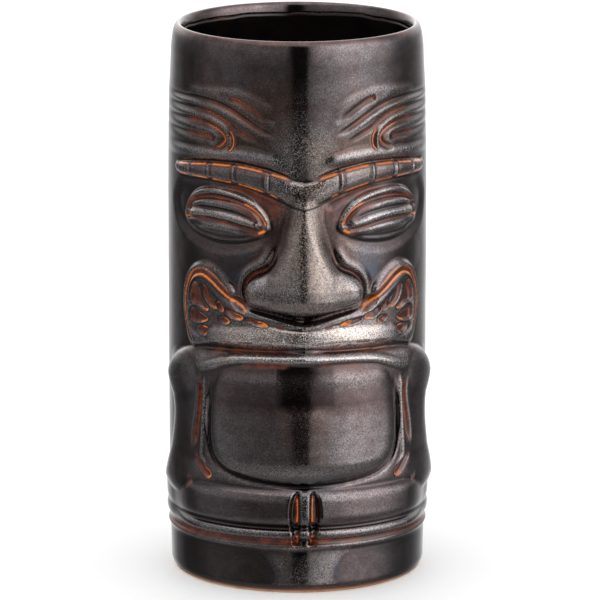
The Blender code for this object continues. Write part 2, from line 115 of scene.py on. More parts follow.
def make_studio():
    """A white room: a dim wide panel front left, a bright one front right, a
    narrow dark gap between them, dark sides and a bright back."""
    world = bpy.data.worlds.new("studio")
    SCN.world = world
    world.use_nodes = True
    world.cycles.sampling_method = "NONE"
    nt = world.node_tree
    nt.nodes.clear()
    out = nt.nodes.new("ShaderNodeOutputWorld")
    tc = nt.nodes.new("ShaderNodeTexCoord")
    sep = nt.nodes.new("ShaderNodeSeparateXYZ")
    nt.links.new(tc.outputs["Generated"], sep.inputs[0])
    back = math_node(nt, "MULTIPLY", sep.outputs["Y"], -1.0)
    turn = math_node(nt, "ARCTAN2", sep.outputs["X"], back)
    turn = math_node(nt, "MULTIPLY_ADD", turn, 0.5 / pi, 0.5)

    def around(stops):
        r = ramp_node(nt, [((a + 180) / 360, v * 0.25) for a, v in stops])
        nt.links.new(turn, r.inputs[0])
        return r.outputs[0]

    low = around([(-180, 0.70), (-160, 0.5), (-145, 0.22), (-127, 0.09), (-112, 0.10), (-99, 0.18), (-88, 0.27),
                  (-72, 0.27), (-52, 0.20), (-30, 0.17), (-14, 0.14), (-8.2, 0.09), (-6.6, 0.004), (5.6, 0.004),
                  (7.4, 0.30), (15, 0.50), (26, 0.77), (37, 1.12), (49, 1.46), (60, 1.38), (75, 1.04), (85, 0.64),
                  (97, 0.28), (110, 0.15), (127, 0.18), (145, 0.36), (160, 0.6), (180, 0.70)])
    high = around([(-180, 1.9), (-140, 0.9), (-118, 0.36), (-100, 0.35), (-80, 0.5), (-45, 0.43), (-14, 0.34), (-8, 0.02),
                   (6.5, 0.02), (12, 0.9), (40, 2.5), (75, 2.1), (100, 0.7), (118, 0.40), (140, 1.0), (180, 1.9)])
    rise = ramp_node(nt, [(0.0, 0.0), (0.46, 0.0), (0.62, 1.0), (1.0, 1.0)])
    up01 = math_node(nt, "MULTIPLY_ADD", sep.outputs["Z"], 0.5, 0.5)
    nt.links.new(up01, rise.inputs[0])
    wall = mix_node(nt, rise.outputs[0], low, high)
    lid = ramp_node(nt, [(0.0, 0.0), (0.84, 0.0), (0.93, 1.0), (1.0, 1.0)])
    nt.links.new(up01, lid.inputs[0])
    wall = mix_node(nt, lid.outputs[0], wall, (0.3, 0.3, 0.3))
    foot = ramp_node(nt, [(0.0, 0.3), (0.18, 0.4), (0.33, 1.0), (1.0, 1.0)])
    nt.links.new(up01, foot.inputs[0])
    wall = mix_node(nt, 1.0, wall, foot.outputs[0], "MULTIPLY")
    table = ramp_node(nt, [(0.0, 1.0), (0.12, 1.0), (0.30, 0.0), (1.0, 0.0)])
    nt.links.new(up01, table.inputs[0])
    wall = mix_node(nt, table.outputs[0], wall, (0.075, 0.075, 0.075))
    gloss = nt.nodes.new("ShaderNodeBackground")
    gloss.inputs["Strength"].default_value = 4.0
    nt.links.new(wall, gloss.inputs["Color"])
    soft = nt.nodes.new("ShaderNodeBackground")
    soft.inputs["Color"].default_value = (1, 1, 1, 1)
    soft.inputs["Strength"].default_value = 1.1
    path = nt.nodes.new("ShaderNodeLightPath")
    mix = nt.nodes.new("ShaderNodeMixShader")
    nt.links.new(path.outputs["Is Glossy Ray"], mix.inputs[0])
    nt.links.new(soft.outputs[0], mix.inputs[1])
    nt.links.new(gloss.outputs[0], mix.inputs[2])
    nt.links.new(mix.outputs[0], out.inputs["Surface"])

    me = bpy.data.meshes.new("floor")
    n, far = 64, 6.0
    ring = [(far * cos(2 * pi * i / n), far * sin(2 * pi * i / n), 0.0) for i in range(n)]
    me.from_pydata(ring, [], [tuple(range(n))])
    fl = bpy.data.objects.new("floor", me)
    SCN.collection.objects.link(fl)
    fl.visible_glossy = False
    mat = bpy.data.materials.new("floor")
    mat.use_nodes = True
    ft = mat.node_tree
    p = ft.nodes["Principled BSDF"]
    p.inputs["Roughness"].default_value = 0.7
    noise = ft.nodes.new("ShaderNodeTexNoise")
    noise.inputs["Scale"].default_value = 1.5
    fr = ramp_node(ft, [(0.3, (0.925, 0.925, 0.925)), (0.7, (0.94, 0.94, 0.94))])
    ft.links.new(noise.outputs["Fac"], fr.inputs[0])
    ft.links.new(fr.outputs[0], p.inputs["Base Color"])
    p.inputs["Emission Color"].default_value = (1, 1, 1, 1)
    p.inputs["Emission Strength"].default_value = 0.16
    me.materials.append(mat)
    SCN.view_settings.view_transform = "Standard"


make_camera()
make_studio()

# ============================================================ carving, in mm
R_BODY, R_FOOT, R_TOP = 39.9, 39.2, 39.0
R_IN, R_IN_LOW = 34.9, 34.0
LIP_R, LIP_Z = 36.85, 168.6
FLOOR_Z, FILLET = 7.6, 8.0
K = R_BODY * pi / 180.0


def ramp(lo, hi, x):
    t = np.clip((x - lo) / (hi - lo), 0.0, 1.0)
    return t * t * (3.0 - 2.0 * t)


def curve(points, closed=False, step=7):
    p = [np.array((a * K, z), float) for a, z in points]
    n = len(p)
    out = []
    for i in range(n if closed else n - 1):
        if closed:
            a, b, c, d = p[i - 1], p[i], p[(i + 1) % n], p[(i + 2) % n]
        else:
            b, c = p[i], p[i + 1]
            a = p[i - 1] if i else 2 * b - c
            d = p[i + 2] if i + 2 < n else 2 * c - b
        for k in range(step):
            t = k / step
            out.append(0.5 * (2 * b + (c - a) * t + (2 * a - 5 * b + 4 * c - d) * t * t
                              + (3 * b - a - 3 * c + d) * t ** 3))
    out.append(p[0] if closed else p[-1])
    return np.array(out)


class Relief:
    """Height h above the drum and glaze masks, on arc S and height Z."""

    def __init__(self, S, Z):
        self.S, self.Z, self.A = S, Z, S / K
        self.h = np.zeros_like(S)
        self.rust = np.zeros_like(S)      # thin glaze that breaks to orange
        self.ink = np.zeros_like(S)       # near black: pooled glaze, and painted shade under ledges and overhangs and in creases
        self.pale = np.zeros_like(S)      # heavy silver speckle
        self.glow = np.zeros_like(S)      # the thinnest glaze, bright orange; round sunk pockets, brighter on one side as a painted highlight
        self.blue = np.zeros_like(S)      # bluish bloom
        self.tone = np.zeros_like(S)      # brighter or darker glaze, about 0, also carrying painted highlights and painted shade
        self.warmth = np.zeros_like(S)    # browner glaze
        self.tan = np.zeros_like(S)       # golden specks

    def near(self, q, reach):
        lo, hi = q.min(0) - reach, q.max(0) + reach
        m = (self.S > lo[0]) & (self.S < hi[0]) & (self.Z > lo[1]) & (self.Z < hi[1])
        s, z = self.S[m], self.Z[m]
        best = np.full(s.shape, 1e9)
        at = np.zeros(s.shape)
        left = np.zeros(s.shape, bool)
        odd = np.zeros(s.shape, bool)
        seg = np.diff(q, axis=0)
        size = np.hypot(seg[:, 0], seg[:, 1])
        run = np.concatenate([[0], np.cumsum(size)])
        for i, (a, e, n) in enumerate(zip(q[:-1], seg, size)):
            if n < 1e-9:
                continue
            x, y = s - a[0], z - a[1]
            t = np.clip((x * e[0] + y * e[1]) / n ** 2, 0, 1)
            d = np.hypot(x - t * e[0], y - t * e[1])
            k = d < best
            best[k] = d[k]
            at[k] = ((run[i] + t * n) / run[-1])[k]
            left[k] = (e[0] * y - e[1] * x)[k] > 0
            if e[1]:
                odd ^= ((a[1] > z) != (a[1] + e[1] > z)) & (s < e[0] * (z - a[1]) / e[1] + a[0])
        return m, best, at, left, odd

    @staticmethod
    def fade(t, ends):
        w = np.ones_like(t)
        if ends[0]:
            w = w * ramp(0, ends[0], t)
        if ends[1]:
            w = w * ramp(0, ends[1], 1 - t)
        return w

    def line(self, points, half, rise, ends=(0.15, 0.15), rust=0.0, ink=0.0, pale=0.0,
             paint=None, flat=2):
        """Rounded ridge or groove with its colours; paint is the painted half width."""
        path = curve(points)
        m, d, t, _, _ = self.near(path, max(half, (paint or half)))
        w = self.fade(t, ends)
        self.h[m] += rise * np.clip(1 - (d / half) ** flat, 0, 1) ** 2 * w
        for name, much in (("rust", rust), ("ink", ink), ("pale", pale)):
            if much:
                a = getattr(self, name)
                v = much * np.clip(1 - (d / (paint or half)) ** 2, 0, 1) * w
                a[m] = np.maximum(a[m], v)

    def mark(self, name, points, half, much, ends=(0.1, 0.1), hard=1.0):
        """Only paint: a stroke of one mask."""
        m, d, t, _, _ = self.near(curve(points), half)
        a = getattr(self, name)
        w = self.fade(t, ends)
        v = much * np.clip((1 - (d / half) ** 2) * hard, 0, 1) * w
        a[m] = np.maximum(a[m], v)
        if name == "rust":
            self.glow[m] = np.maximum(self.glow[m], 0.22 * v)

    def inside(self, points, reach=10.0):
        m, d, _, _, odd = self.near(curve(points, True), reach)
        out = np.full(self.S.shape, -reach)
        out[m] = np.where(odd, d, -d)
        return out

    def panel(self, points, edge, reach=10.0):
        return ramp(0, edge, self.inside(points, reach))

    def dome(self, a, z, ra, rz, power=1.0, tilt=0.0):
        x, y = self.S - a * K, self.Z - z
        c, s = cos(radians(tilt)), sin(radians(tilt))
        x, y = x * c + y * s, -x * s + y * c
        return np.clip(1 - (x / (ra * K)) ** 2 - (y / rz) ** 2, 0, 1) ** power

    def merge(self, level, soft=0.6):
        d = np.clip(0.5 + 0.5 * (level - self.h) / soft, 0, 1)
        self.h = self.h * (1 - d) + level * d + soft * d * (1 - d)

    def pocket(self, points, depth, rim=0.55, reach=2.0):
        """A sunk shape: brown floor, orange along its rim, made brighter on its upper side nearer the middle of the
        face as a painted highlight, and a black line round it as a painted step shadow.
        """
        sd = self.inside(points, reach)
        mid = np.mean(np.array(points, float), 0)
        x, y = self.S - mid[0] * K, self.Z - mid[1]
        # lit: a painted highlight, brightest on the rim's upper side nearer the middle of the face
        lit = np.clip(0.62 + 0.55 * (0.35 * y - x) / (np.hypot(x, y) + 0.1), 0.22, 1.0)
        self.h -= depth * ramp(-0.25, 0.55, sd)
        self.rust = np.maximum(self.rust, 0.75 * ramp(-0.15, 0.15, sd))
        self.glow = np.maximum(self.glow, lit * np.clip(1.45 - 1.45 * ((sd - 0.16) / (0.72 * rim)) ** 2, 0, 1))
        # a black line just outside the rim: the painted shadow of the step
        self.ink = np.maximum(self.ink, 0.8 * np.clip(1 - ((sd + 0.45) / 0.34) ** 2, 0, 1))
        self.ink = np.maximum(self.ink, 0.5 * ramp(0.5, 0.8, sd))


def carve(S, Z):
    f = Relief(S, Z)
    A = f.A

    # ---- hair lines over the brow
    f.line([(12, 149.2), (20, 152.7), (28, 154.9), (36, 155.4), (46, 155), (62, 154.2)], 2.2, 0.35, pale=0.10)
    f.line([(10, 145), (20, 148.9), (28, 151.6), (36, 153.2), (46, 154.1)], 1.5, 0.3, pale=0.16)
    f.line([(11, 141.6), (18, 143.4), (24, 145.2), (30, 147.2), (36, 149), (44, 150.5), (56, 150.9),
            (74, 150.6), (94, 150.2)], 1.2, 0.34, (0.1, 0.3), pale=0.24)
    f.line([(34.4, 137.4), (34.7, 139.8), (35.2, 142), (37.4, 144.2), (41.5, 145.9), (47, 146.9), (56, 147.2),
            (74, 147), (96, 146.8)], 1.1, 0.4, (0.02, 0.3), pale=0.28)
    f.line([(48, 138.9), (43, 139.2), (41, 140.7), (42.6, 142.5), (49, 143.3), (60, 143.3), (94, 143)], 1.1, 0.32,
           (0.08, 0.3), pale=0.22)
    f.line([(46, 139), (58, 138.9), (74, 139), (96, 138.6)], 1.3, 0.25)
    f.line([(13, 146.5), (18, 148.2), (24, 150.7), (29, 152.5), (34.2, 153.6)], 1.4, -0.85, (0.4, 0.06))
    f.mark("rust", [(16, 147.4), (19, 148.6), (24, 150.8), (29, 152.5), (34.2, 153.5)], 1.05, 0.85, (0.4, 0.04))
    f.mark("glow", [(24, 151.2), (29, 153), (34, 153.9)], 0.45, 0.7, (0.5, 0.04))
    f.mark("ink", [(14, 146.6), (18, 147.7), (24, 149.9), (30, 152)], 0.6, 0.45, (0.3, 0.3))
    f.line([(13, 142.8), (18, 144), (24, 146.2), (30, 148.6), (36, 150.5), (44, 151.8), (54, 152.3), (70, 152.1),
            (96, 151.8)], 1.3, -0.8, (0.1, 0.35))
    f.mark("rust", [(15, 143.2), (24, 146.1), (30, 148.5), (37, 150.6), (44, 151.6), (54, 152)], 0.95, 0.7, (0.2, 0.35))
    f.mark("glow", [(20, 145), (26, 147.3), (31, 149.4)], 0.4, 0.55, (0.3, 0.3))
    f.mark("ink", [(12, 142.7), (18, 144.6), (24, 147.1), (30, 149.6), (38, 151.8), (56, 153)], 0.5, 0.5, (0.1, 0.4))
    wedge = f.panel([(20, 140.4), (27, 142.6), (34, 144.9), (36, 145.6), (33.2, 142.4), (32.4, 139), (33, 137.8),
                     (24, 138), (18.4, 137.9), (17.2, 138.5), (18, 139.4)], 1.8)
    f.h -= 0.35 * wedge
    f.line([(17, 139.8), (20, 140.8), (25, 142.2), (31, 144), (36.5, 146.1), (41, 147.4), (46, 148.4), (53, 149),
            (64, 149.1), (84, 148.9), (100, 148.6)], 1.25, -0.85, (0.14, 0.3))
    f.mark("rust", [(18, 140.2), (22, 141.4), (27, 142.9), (33, 145.1), (38, 146.8), (44, 148.1), (50, 148.8), (60, 149.1)],
           1.0, 0.9, (0.25, 0.25))
    f.mark("glow", [(31, 144.4), (36, 146.3), (41, 147.7), (47, 148.8), (53, 149.3)], 0.42, 0.75, (0.2, 0.3))
    f.mark("ink", [(30, 143.4), (36, 145.2), (42, 146.8), (50, 147.9), (60, 148.2)], 0.5, 0.3, (0.3, 0.4))
    f.line([(35.8, 144.9), (34, 143.4), (32.8, 141.4), (32.9, 139.2), (34.2, 137.3)], 1.0, -0.6, (0.45, 0.1))
    f.mark("rust", [(35.6, 145), (33.7, 143.2), (32.6, 141.2), (32.9, 139), (34.4, 137.2)], 0.85, 0.9, (0.2, 0.02))
    f.mark("glow", [(35, 144.4), (33.5, 143), (32.5, 141.1), (32.8, 138.9), (34.2, 137.3)], 0.42, 0.95, (0.2, 0.02))
    f.line([(44, 137.5), (40, 137.9), (37.6, 139.2), (36.7, 141), (38.2, 142.8), (42, 144.2), (47, 145), (54, 145.4),
            (70, 145.3), (102, 145)], 1.3, -0.85, (0.06, 0.3))
    f.mark("rust", [(44, 137.7), (39.8, 138.2), (37.3, 139.5), (36.6, 141), (38.3, 142.8), (42, 144.2), (47, 145),
                    (54, 145.4), (68, 145.5)], 1.05, 0.95, (0.04, 0.35))
    f.mark("glow", [(43, 138), (39.9, 138.5), (37.7, 139.7), (37, 141), (38.6, 142.6), (42.4, 143.9), (48, 144.8),
                    (54, 145.1)], 0.45, 0.8, (0.1, 0.35))
    f.mark("ink", [(44, 138.7), (40.8, 139.1), (38.9, 140.1), (38.6, 141.3), (40.5, 142.7), (46, 143.8), (56, 144.2),
                   (70, 144.3)], 0.42, 0.6, (0.1, 0.4))
    f.line([(43.6, 141.1), (50, 141.1), (60, 141.2), (76, 141.3), (100, 141)], 1.15, -0.8, (0.03, 0.35))
    f.mark("rust", [(43.6, 141.2), (48, 141.2), (54, 141.2), (66, 141.3)], 0.95, 0.95, (0.04, 0.5))
    f.mark("glow", [(43.8, 141.3), (48, 141.3), (53, 141.3)], 0.45, 0.6, (0.04, 0.5))
    f.h *= 0.12 + 0.88 * ramp(88, 56, A)

    # ---- brow: a soft roll above a jointed band
    side = 0.25 + 0.75 * ramp(92, 58, A)
    f.line([(7, 134.4), (14, 135.5), (22, 136.3), (32, 136.7), (42, 136.3), (54, 135.8), (70, 135.1), (90, 134.4)], 2.4,
           0.75, (0.1, 0.35), pale=0.38, paint=1.7)
    f.h -= 0.10 * f.dome(9.6, 136.6, 4, 1.8, 1.0)
    socket = f.panel([(12.5, 119), (17, 123.8), (24, 126.8), (34, 128), (52, 128.2), (68, 127), (76, 119),
                      (68, 110), (44, 105), (26, 106), (16, 111)], 4.5)
    f.h -= 1.0 * socket
    edge = [(-7, 120.6), (0, 120.7), (5, 121.8), (10, 123.5), (16, 125.4), (24, 126.9), (31, 127.8), (44.5, 128.3),
            (58, 128.1), (66.5, 127.8), (70.5, 128.6), (71, 130), (68.4, 131.2), (57, 132.3), (44, 133.4),
            (31, 133.8), (24, 133.3), (16, 132.3), (9, 130.8), (4, 129.2), (-3, 128.4), (-7, 128.4)]
    sd = f.inside(edge)
    band = ramp(-0.2, 0.8, sd)
    crown = (0.8 + 0.5 * ramp(0.2, 2.8, sd)) * side
    f.h = f.h * (1 - band) + (np.maximum(f.h, 0.0) * 0.3 + crown) * band
    f.line([(3, 129), (9, 130.9), (16, 132.4), (24, 133.4), (31, 133.9), (44, 133.6), (57, 132.5), (69, 131.2)], 0.8,
           -0.75, (0.12, 0.05))
    f.line([(2, 120.7), (8, 122.4), (16, 124.8), (24, 126.3), (31, 127.2), (44, 127.7), (58, 127.5), (68, 127.2)], 0.6,
           -0.4, (0.05, 0.1))
    # orange breaks along both edges, stopped at each joint, with black outside: above the band in its groove, and below
    # it as painted shade under the band's lower edge
    stops = [4.2, 16.2, 31.5, 44.8, 58.0, 69.0]
    top = lambda a: np.interp(a, [4, 9, 16, 24, 31, 44, 57, 69], [128.9, 130.4, 131.8, 132.8, 133.3, 132.9, 131.8, 130.7])
    low = lambda a: np.interp(a, [0, 10, 16, 24, 31, 44, 58, 69], [121.0, 123.6, 125.5, 127.0, 127.9, 128.4, 128.2, 127.8])
    for i, (a0, a1) in enumerate(zip(stops[:-1], stops[1:])):
        t = np.linspace(a0 + (0.9 if i else 0), a1 - 0.9, 6)
        f.mark("rust", [(a, float(top(a)) - 0.1) for a in t], 0.74, 0.9, (0.02 if i else 0.3, 0.02), 1.3)
        f.mark("glow", [(a, float(top(a))) for a in t], 0.5, 0.95, (0.12 if i else 0.4, 0.12), 1.05)
        f.mark("rust", [(t[-1], float(top(t[-1]))), (t[-1] - 0.1, float(top(t[-1])) - 1.5)], 0.6, 0.8, (0, 0.5))
        if i:
            f.mark("rust", [(t[0], float(top(t[0]))), (t[0] + 0.4, float(top(t[0])) - 2.2)], 0.62, 0.9, (0, 0.5))
        t = np.linspace(max(a0, 9.5) + 0.8, a1 - 0.9, 6)
        f.mark("rust", [(a, float(low(a)) + 0.1) for a in t], 0.7, 0.9, (0.02 if i else 0.5, 0.02), 1.3)
        f.mark("glow", [(a, float(low(a))) for a in t], 0.48, 0.95, (0.12 if i else 0.5, 0.12), 1.1)
    f.mark("ink", [(3, 129.4), (9, 131.3), (16, 132.8), (24, 133.8), (31, 134.2), (44, 133.9), (57, 132.9), (69, 131.6)],
           0.46, 0.95, (0.1, 0.2))
    # black under the band's lower edge: painted shade on the face turned down beneath it
    f.mark("ink", [(0, 120.6), (5, 121.4), (10, 122.8), (16, 124.7), (24, 126.2), (31, 127.1), (44, 127.6), (58, 127.4),
                   (68, 127.1)], 0.5, 0.95, (0.0, 0.3))
    for a, z0, z1, lean in ((16.1, 125.0, 132.6, 0.2), (31.3, 127.4, 134.2, 0.2), (44.8, 127.9, 133.9, 0.0),
                            (58, 127.6, 132.7, -0.3)):
        f.line([(a, z0), (a + lean, (z0 + z1) / 2), (a, z1)], 0.8, 0.35, (0.02, 0.02), pale=0.35)
        for t in (-1.15, 1.15):
            f.line([(a + t, z0 + 1), (a + t + lean, (z0 + z1) / 2), (a + t, z1 - 1)], 0.6, -0.2, (0.2, 0.2), ink=0.3)
    f.line([(68.6, 128), (70.2, 129.3), (68.8, 131)], 0.9, 0.25, (0.1, 0.1), pale=0.5)

    # ---- valley between brow and lid
    f.line([(9, 120.8), (14, 122), (20, 123.9), (26, 125.2), (33, 126), (42, 126.2)], 1.9, -0.6, (0.1, 0.4))
    hollow = f.inside([(8.6, 120.6), (12, 122.6), (18, 124.6), (24, 125.9), (33, 126.7), (44, 127.1), (40, 126.2),
                       (30, 125.2), (22, 123.2), (17.6, 120.6), (14.8, 117.4), (13, 116.2), (10.6, 118)], 4)
    f.rust = np.maximum(f.rust, 0.85 * ramp(-0.8, 1.3, hollow))
    f.mark("rust", [(10, 121.2), (14, 122.4), (20, 124.1), (27, 125.4), (34, 126.2), (40, 126.5)], 1.5, 0.85, (0.1, 0.4))
    f.mark("rust", [(12.2, 119.6), (15.2, 121.2), (19, 122.9)], 1.9, 0.8, (0.2, 0.3))
    f.mark("glow", [(12, 122.2), (17, 124), (23, 125.5), (30, 126.2)], 0.7, 0.50, (0.3, 0.4))
    f.line([(14, 124.0), (20, 125.8), (28, 126.8), (36, 127.1)], 0.45, 0.2, (0.2, 0.3), pale=0.4)

    # ---- closed eye: rim and long folds
    lid = [(15.0, 114.8), (17, 118.4), (21, 121.6), (26, 123.7), (32, 125), (40, 125.7), (47, 125.4), (53, 124),
           (58, 121.4), (61, 118.2), (61.4, 115.4), (59.6, 113), (55, 111.2), (47, 109.8), (38, 109.4), (28, 110.1),
           (20, 111.9), (16, 113.5)]
    sd = f.inside(lid)
    f.h += 1.4 * ramp(-0.7, 1.2, sd) + 0.9 * ramp(0.8, 5.5, sd)
    # black under the lower lid: a painted step shadow where the eye mound drops to the cheek; then painted shade in the
    # inner corner
    f.mark("ink", [(17.4, 112.2), (22, 110.8), (30, 109.5), (38, 109), (46, 109.4), (53, 110.6)], 0.7, 0.95, (0.15, 0.3))
    f.mark("ink", [(14.4, 117), (14.4, 115), (15.8, 113.4), (18, 112.4)], 0.7, 0.95, (0.1, 0.1))
    f.line([(16, 115.4), (18.2, 118.8), (22, 121.5), (27, 123.4), (33, 124.5), (40, 124.9), (47, 124.5), (53, 123.1),
            (58, 120.7), (60.6, 117.8), (60.4, 115), (58, 112.9), (53, 111.4), (46, 110.4)], 1.35, 0.6, (0.04, 0.2), pale=0.1)
    f.mark("pale", [(16, 115.6), (18.2, 118.9), (22, 121.7), (27, 123.6), (33, 124.7), (40, 125.1), (47, 124.6)], 1.2, 0.6,
           (0.03, 0.3))
    f.line([(17, 115.2), (19.8, 118.3), (24, 120.7), (30, 122.2), (38, 122.9), (46, 122.6), (53, 121.3), (58.6, 118.9)],
           1.05, -0.95, (0.03, 0.05))
    f.mark("rust", [(16.6, 115.2), (19, 117.6), (23, 119.9), (30, 121.6), (38, 122.5), (46, 122.5), (54, 121.5),
                    (59, 119.4), (60.4, 117)], 1.15, 0.95, (0.02, 0.03))
    f.mark("rust", [(19, 116.2), (24, 118.6), (30, 120.2), (36, 120.9)], 1.0, 0.5, (0.15, 0.5))
    f.mark("glow", [(16.6, 115.4), (18.6, 117.7), (21.4, 119.7), (25.4, 121.3), (31, 122.4)], 0.55, 1.0, (0.02, 0.35), 1.3)
    f.mark("glow", [(31, 122.2), (38, 122.7), (46, 122.6), (54, 121.4)], 0.45, 0.5, (0.3, 0.3))
    f.line([(30, 120.1), (37, 121.2), (45, 121.2), (52, 120.3), (58, 118.8)], 1.25, 0.35, pale=0.25)
    f.line([(21, 116.7), (29, 118.6), (38, 119.3), (47, 119.3), (54, 118.8), (60, 118.1)], 0.95, -0.65, (0.15, 0.03),
           ink=0.45)
    f.mark("rust", [(48, 119.2), (54, 118.7), (60.4, 118)], 0.7, 0.7, (0.3, 0.1))
    f.line([(18.5, 114.6), (25, 116), (32, 117.2), (40, 117.8), (48, 117.7), (57, 116.9)], 1.35, 0.65, (0.1, 0.1), pale=0.7)
    f.line([(19, 113.6), (26, 114.3), (33, 115.3), (41, 115.8), (50, 115.8), (60, 115.3)], 0.95, -0.8, (0.05, 0.03))
    f.mark("rust", [(17.4, 113.9), (22, 113.8), (28, 114.5), (34, 115.3), (42, 115.7), (52, 115.8), (60.6, 115.4)], 0.85,
           0.9, (0.0, 0.05))
    f.mark("glow", [(55, 115.5), (60.4, 115.3)], 0.5, 0.8, (0.3, 0.05))
    f.mark("rust", [(17.4, 113.9), (20, 113), (25, 112.8)], 1.1, 1.0, (0.05, 0.3), 1.4)
    f.mark("glow", [(16.8, 114.1), (18.6, 113.3), (21.4, 112.7)], 0.65, 1.0, (0.1, 0.4), 1.3)
    f.line([(27, 112.9), (34, 113.7), (42, 114), (52, 113.7)], 1.1, 0.35, pale=0.22)
    f.line([(20, 112.4), (28, 111.5), (38, 111.1), (48, 111.7), (56, 112.9)], 0.9, -0.35, (0.1, 0.1), ink=0.45)
    f.mark("pale", [(61.4, 118.4), (61.6, 115.4), (59.6, 112.8), (54, 110.8), (46, 109.8)], 0.6, 0.7, (0.1, 0.2))

    # ---- nose: one broad soft form, its wings, and the folds beside it
    f.h += 0.5 * f.dome(38, 103, 30, 9)
    nose = [(-9, 86.6), (0, 86.2), (6, 87.0), (12, 88.2), (18, 89.0), (23, 89.9), (25.6, 92), (26.2, 94.8), (25.0, 97.8),
            (21.8, 99.8), (18, 101.0), (15, 102.4), (12.8, 105), (11, 109), (9.4, 113), (8.2, 117), (8, 121), (8, 126),
            (-8, 126), (-9, 118)]
    sd = f.inside(nose, 14.0)
    fat = np.interp(Z, [86, 88, 90, 93, 96, 99, 102, 106, 110, 114, 118, 122, 126],
                    [1.2, 2.6, 3.7, 4.5, 4.6, 4.2, 3.7, 3.1, 2.6, 2.1, 1.6, 1.2, 0.9])
    q = np.clip(sd / np.interp(Z, [90, 100, 112, 122], [4.2, 4.4, 5.0, 5.6]), 0, 1)
    blend = ramp(100, 110, Z)
    pillow = fat * (np.sqrt(q * (2 - q)) * (1 - blend) + ramp(0, 1, q) * blend)
    peak = np.interp(Z, [86.4, 88, 90, 93, 96, 100, 105, 110, 115, 120, 126],
                     [0.0, 1.0, 2.2, 2.9, 3.0, 2.7, 2.1, 1.5, 1.0, 0.7, 0.4])
    keel = np.interp(Z, [88, 95, 104, 112, 120], [18, 18, 16, 13, 11])
    pillow = pillow + peak * np.clip(1 - (A / keel) ** 2, 0, 1) ** 2.0 * (sd > 0)
    f.merge(np.where(sd > 0, pillow, -9), 0.5)
    f.line([(9.8, 106), (11.8, 103), (13.2, 99.6), (13.4, 96), (13.2, 93)], 2.6, -0.38, (0.35, 0.5))
    f.h += 0.75 * f.dome(18.8, 95.2, 7.2, 5.0, 1.5)
    f.line([(9.6, 113.4), (11.2, 109.2), (12.9, 105.4), (14.8, 102.9)], 1.9, -0.12, (0.4, 0.2))
    f.line([(14.2, 103.2), (17.6, 101.6), (21, 100.6), (24, 99), (26, 96.6), (26.5, 94), (25.4, 91.6), (23.4, 90.4)], 1.15,
           -0.8, (0.12, 0.05))
    f.mark("rust", [(9.6, 111.6), (11.4, 107.8), (12.9, 105), (13.8, 103)], 0.8, 0.34, (0.3, 0.3))
    f.mark("rust", [(14, 103.2), (17.6, 101.7), (21.2, 100.6), (24.2, 99), (26, 96.6), (26.4, 94), (25.2, 91.6)], 0.8, 0.75,
           (0.25, 0.1))
    f.mark("glow", [(18, 101.5), (20, 100.9), (22, 100.1)], 0.5, 0.45, (0.3, 0.3))
    f.mark("ink", [(15.4, 102.2), (18, 101.2), (22, 99.9), (24.8, 97.7), (25.6, 94.6), (24.6, 91.8)], 0.5, 0.5, (0.25, 0.1))
    f.line([(14.0, 111.0), (15.0, 108.4), (16.4, 106), (18.8, 103.8), (22.6, 102.2), (26.4, 99.8), (28.4, 96.6),
            (28.6, 93.4), (29, 91.2)], 2.1, 0.75, (0.35, 0.12), pale=0.40)

    # ---- mouth: a snarl that turns up at its corners
    lips = [(-8, 76.6), (12, 76.9), (28, 76.5), (44, 75.2), (55, 74), (60, 79.4), (62.4, 86), (62.2, 92.4), (59.4, 98),
            (54.6, 101.6), (47, 103), (41, 101.8), (35, 98.8), (29.6, 95.6), (27.4, 91.4), (14, 89.4), (0, 87.2),
            (-8, 87.2)]
    sd = f.inside(lips)
    f.merge(np.where(sd > 0, 2.3 * ramp(0, 3.4, sd), -9), 0.4)
    f.line([(29, 92), (33, 96), (38, 99.4), (43, 101.4), (48, 101.7), (54, 99.6), (58.6, 95.6), (60.8, 90), (60.6, 84),
            (58.8, 78.6), (56, 74.6)], 1.35, 0.6, (0.05, 0.1), pale=0.5)
    # under the nose: a groove, blackened with painted shade under the nose's overhang
    f.line([(-3, 85.7), (3, 85.9), (8, 87), (14, 88.2), (19, 89), (24.4, 90.6)], 0.8, -0.5, (0.0, 0.25))
    f.mark("ink", [(-3, 85.9), (3, 86.1), (8, 87.1)], 0.7, 0.12, (0.0, 0.5), 1.0)
    f.mark("ink", [(3, 86.2), (8, 87.2), (14, 88.3), (19, 89), (24.4, 90.5)], 0.5, 0.2, (0.2, 0.35), 1.0)
    f.line([(-3, 84.6), (4, 84.9), (10, 86), (17, 87.4), (24, 88.8), (28, 90)], 0.7, 0.35, (0.0, 0.2), pale=0.3)
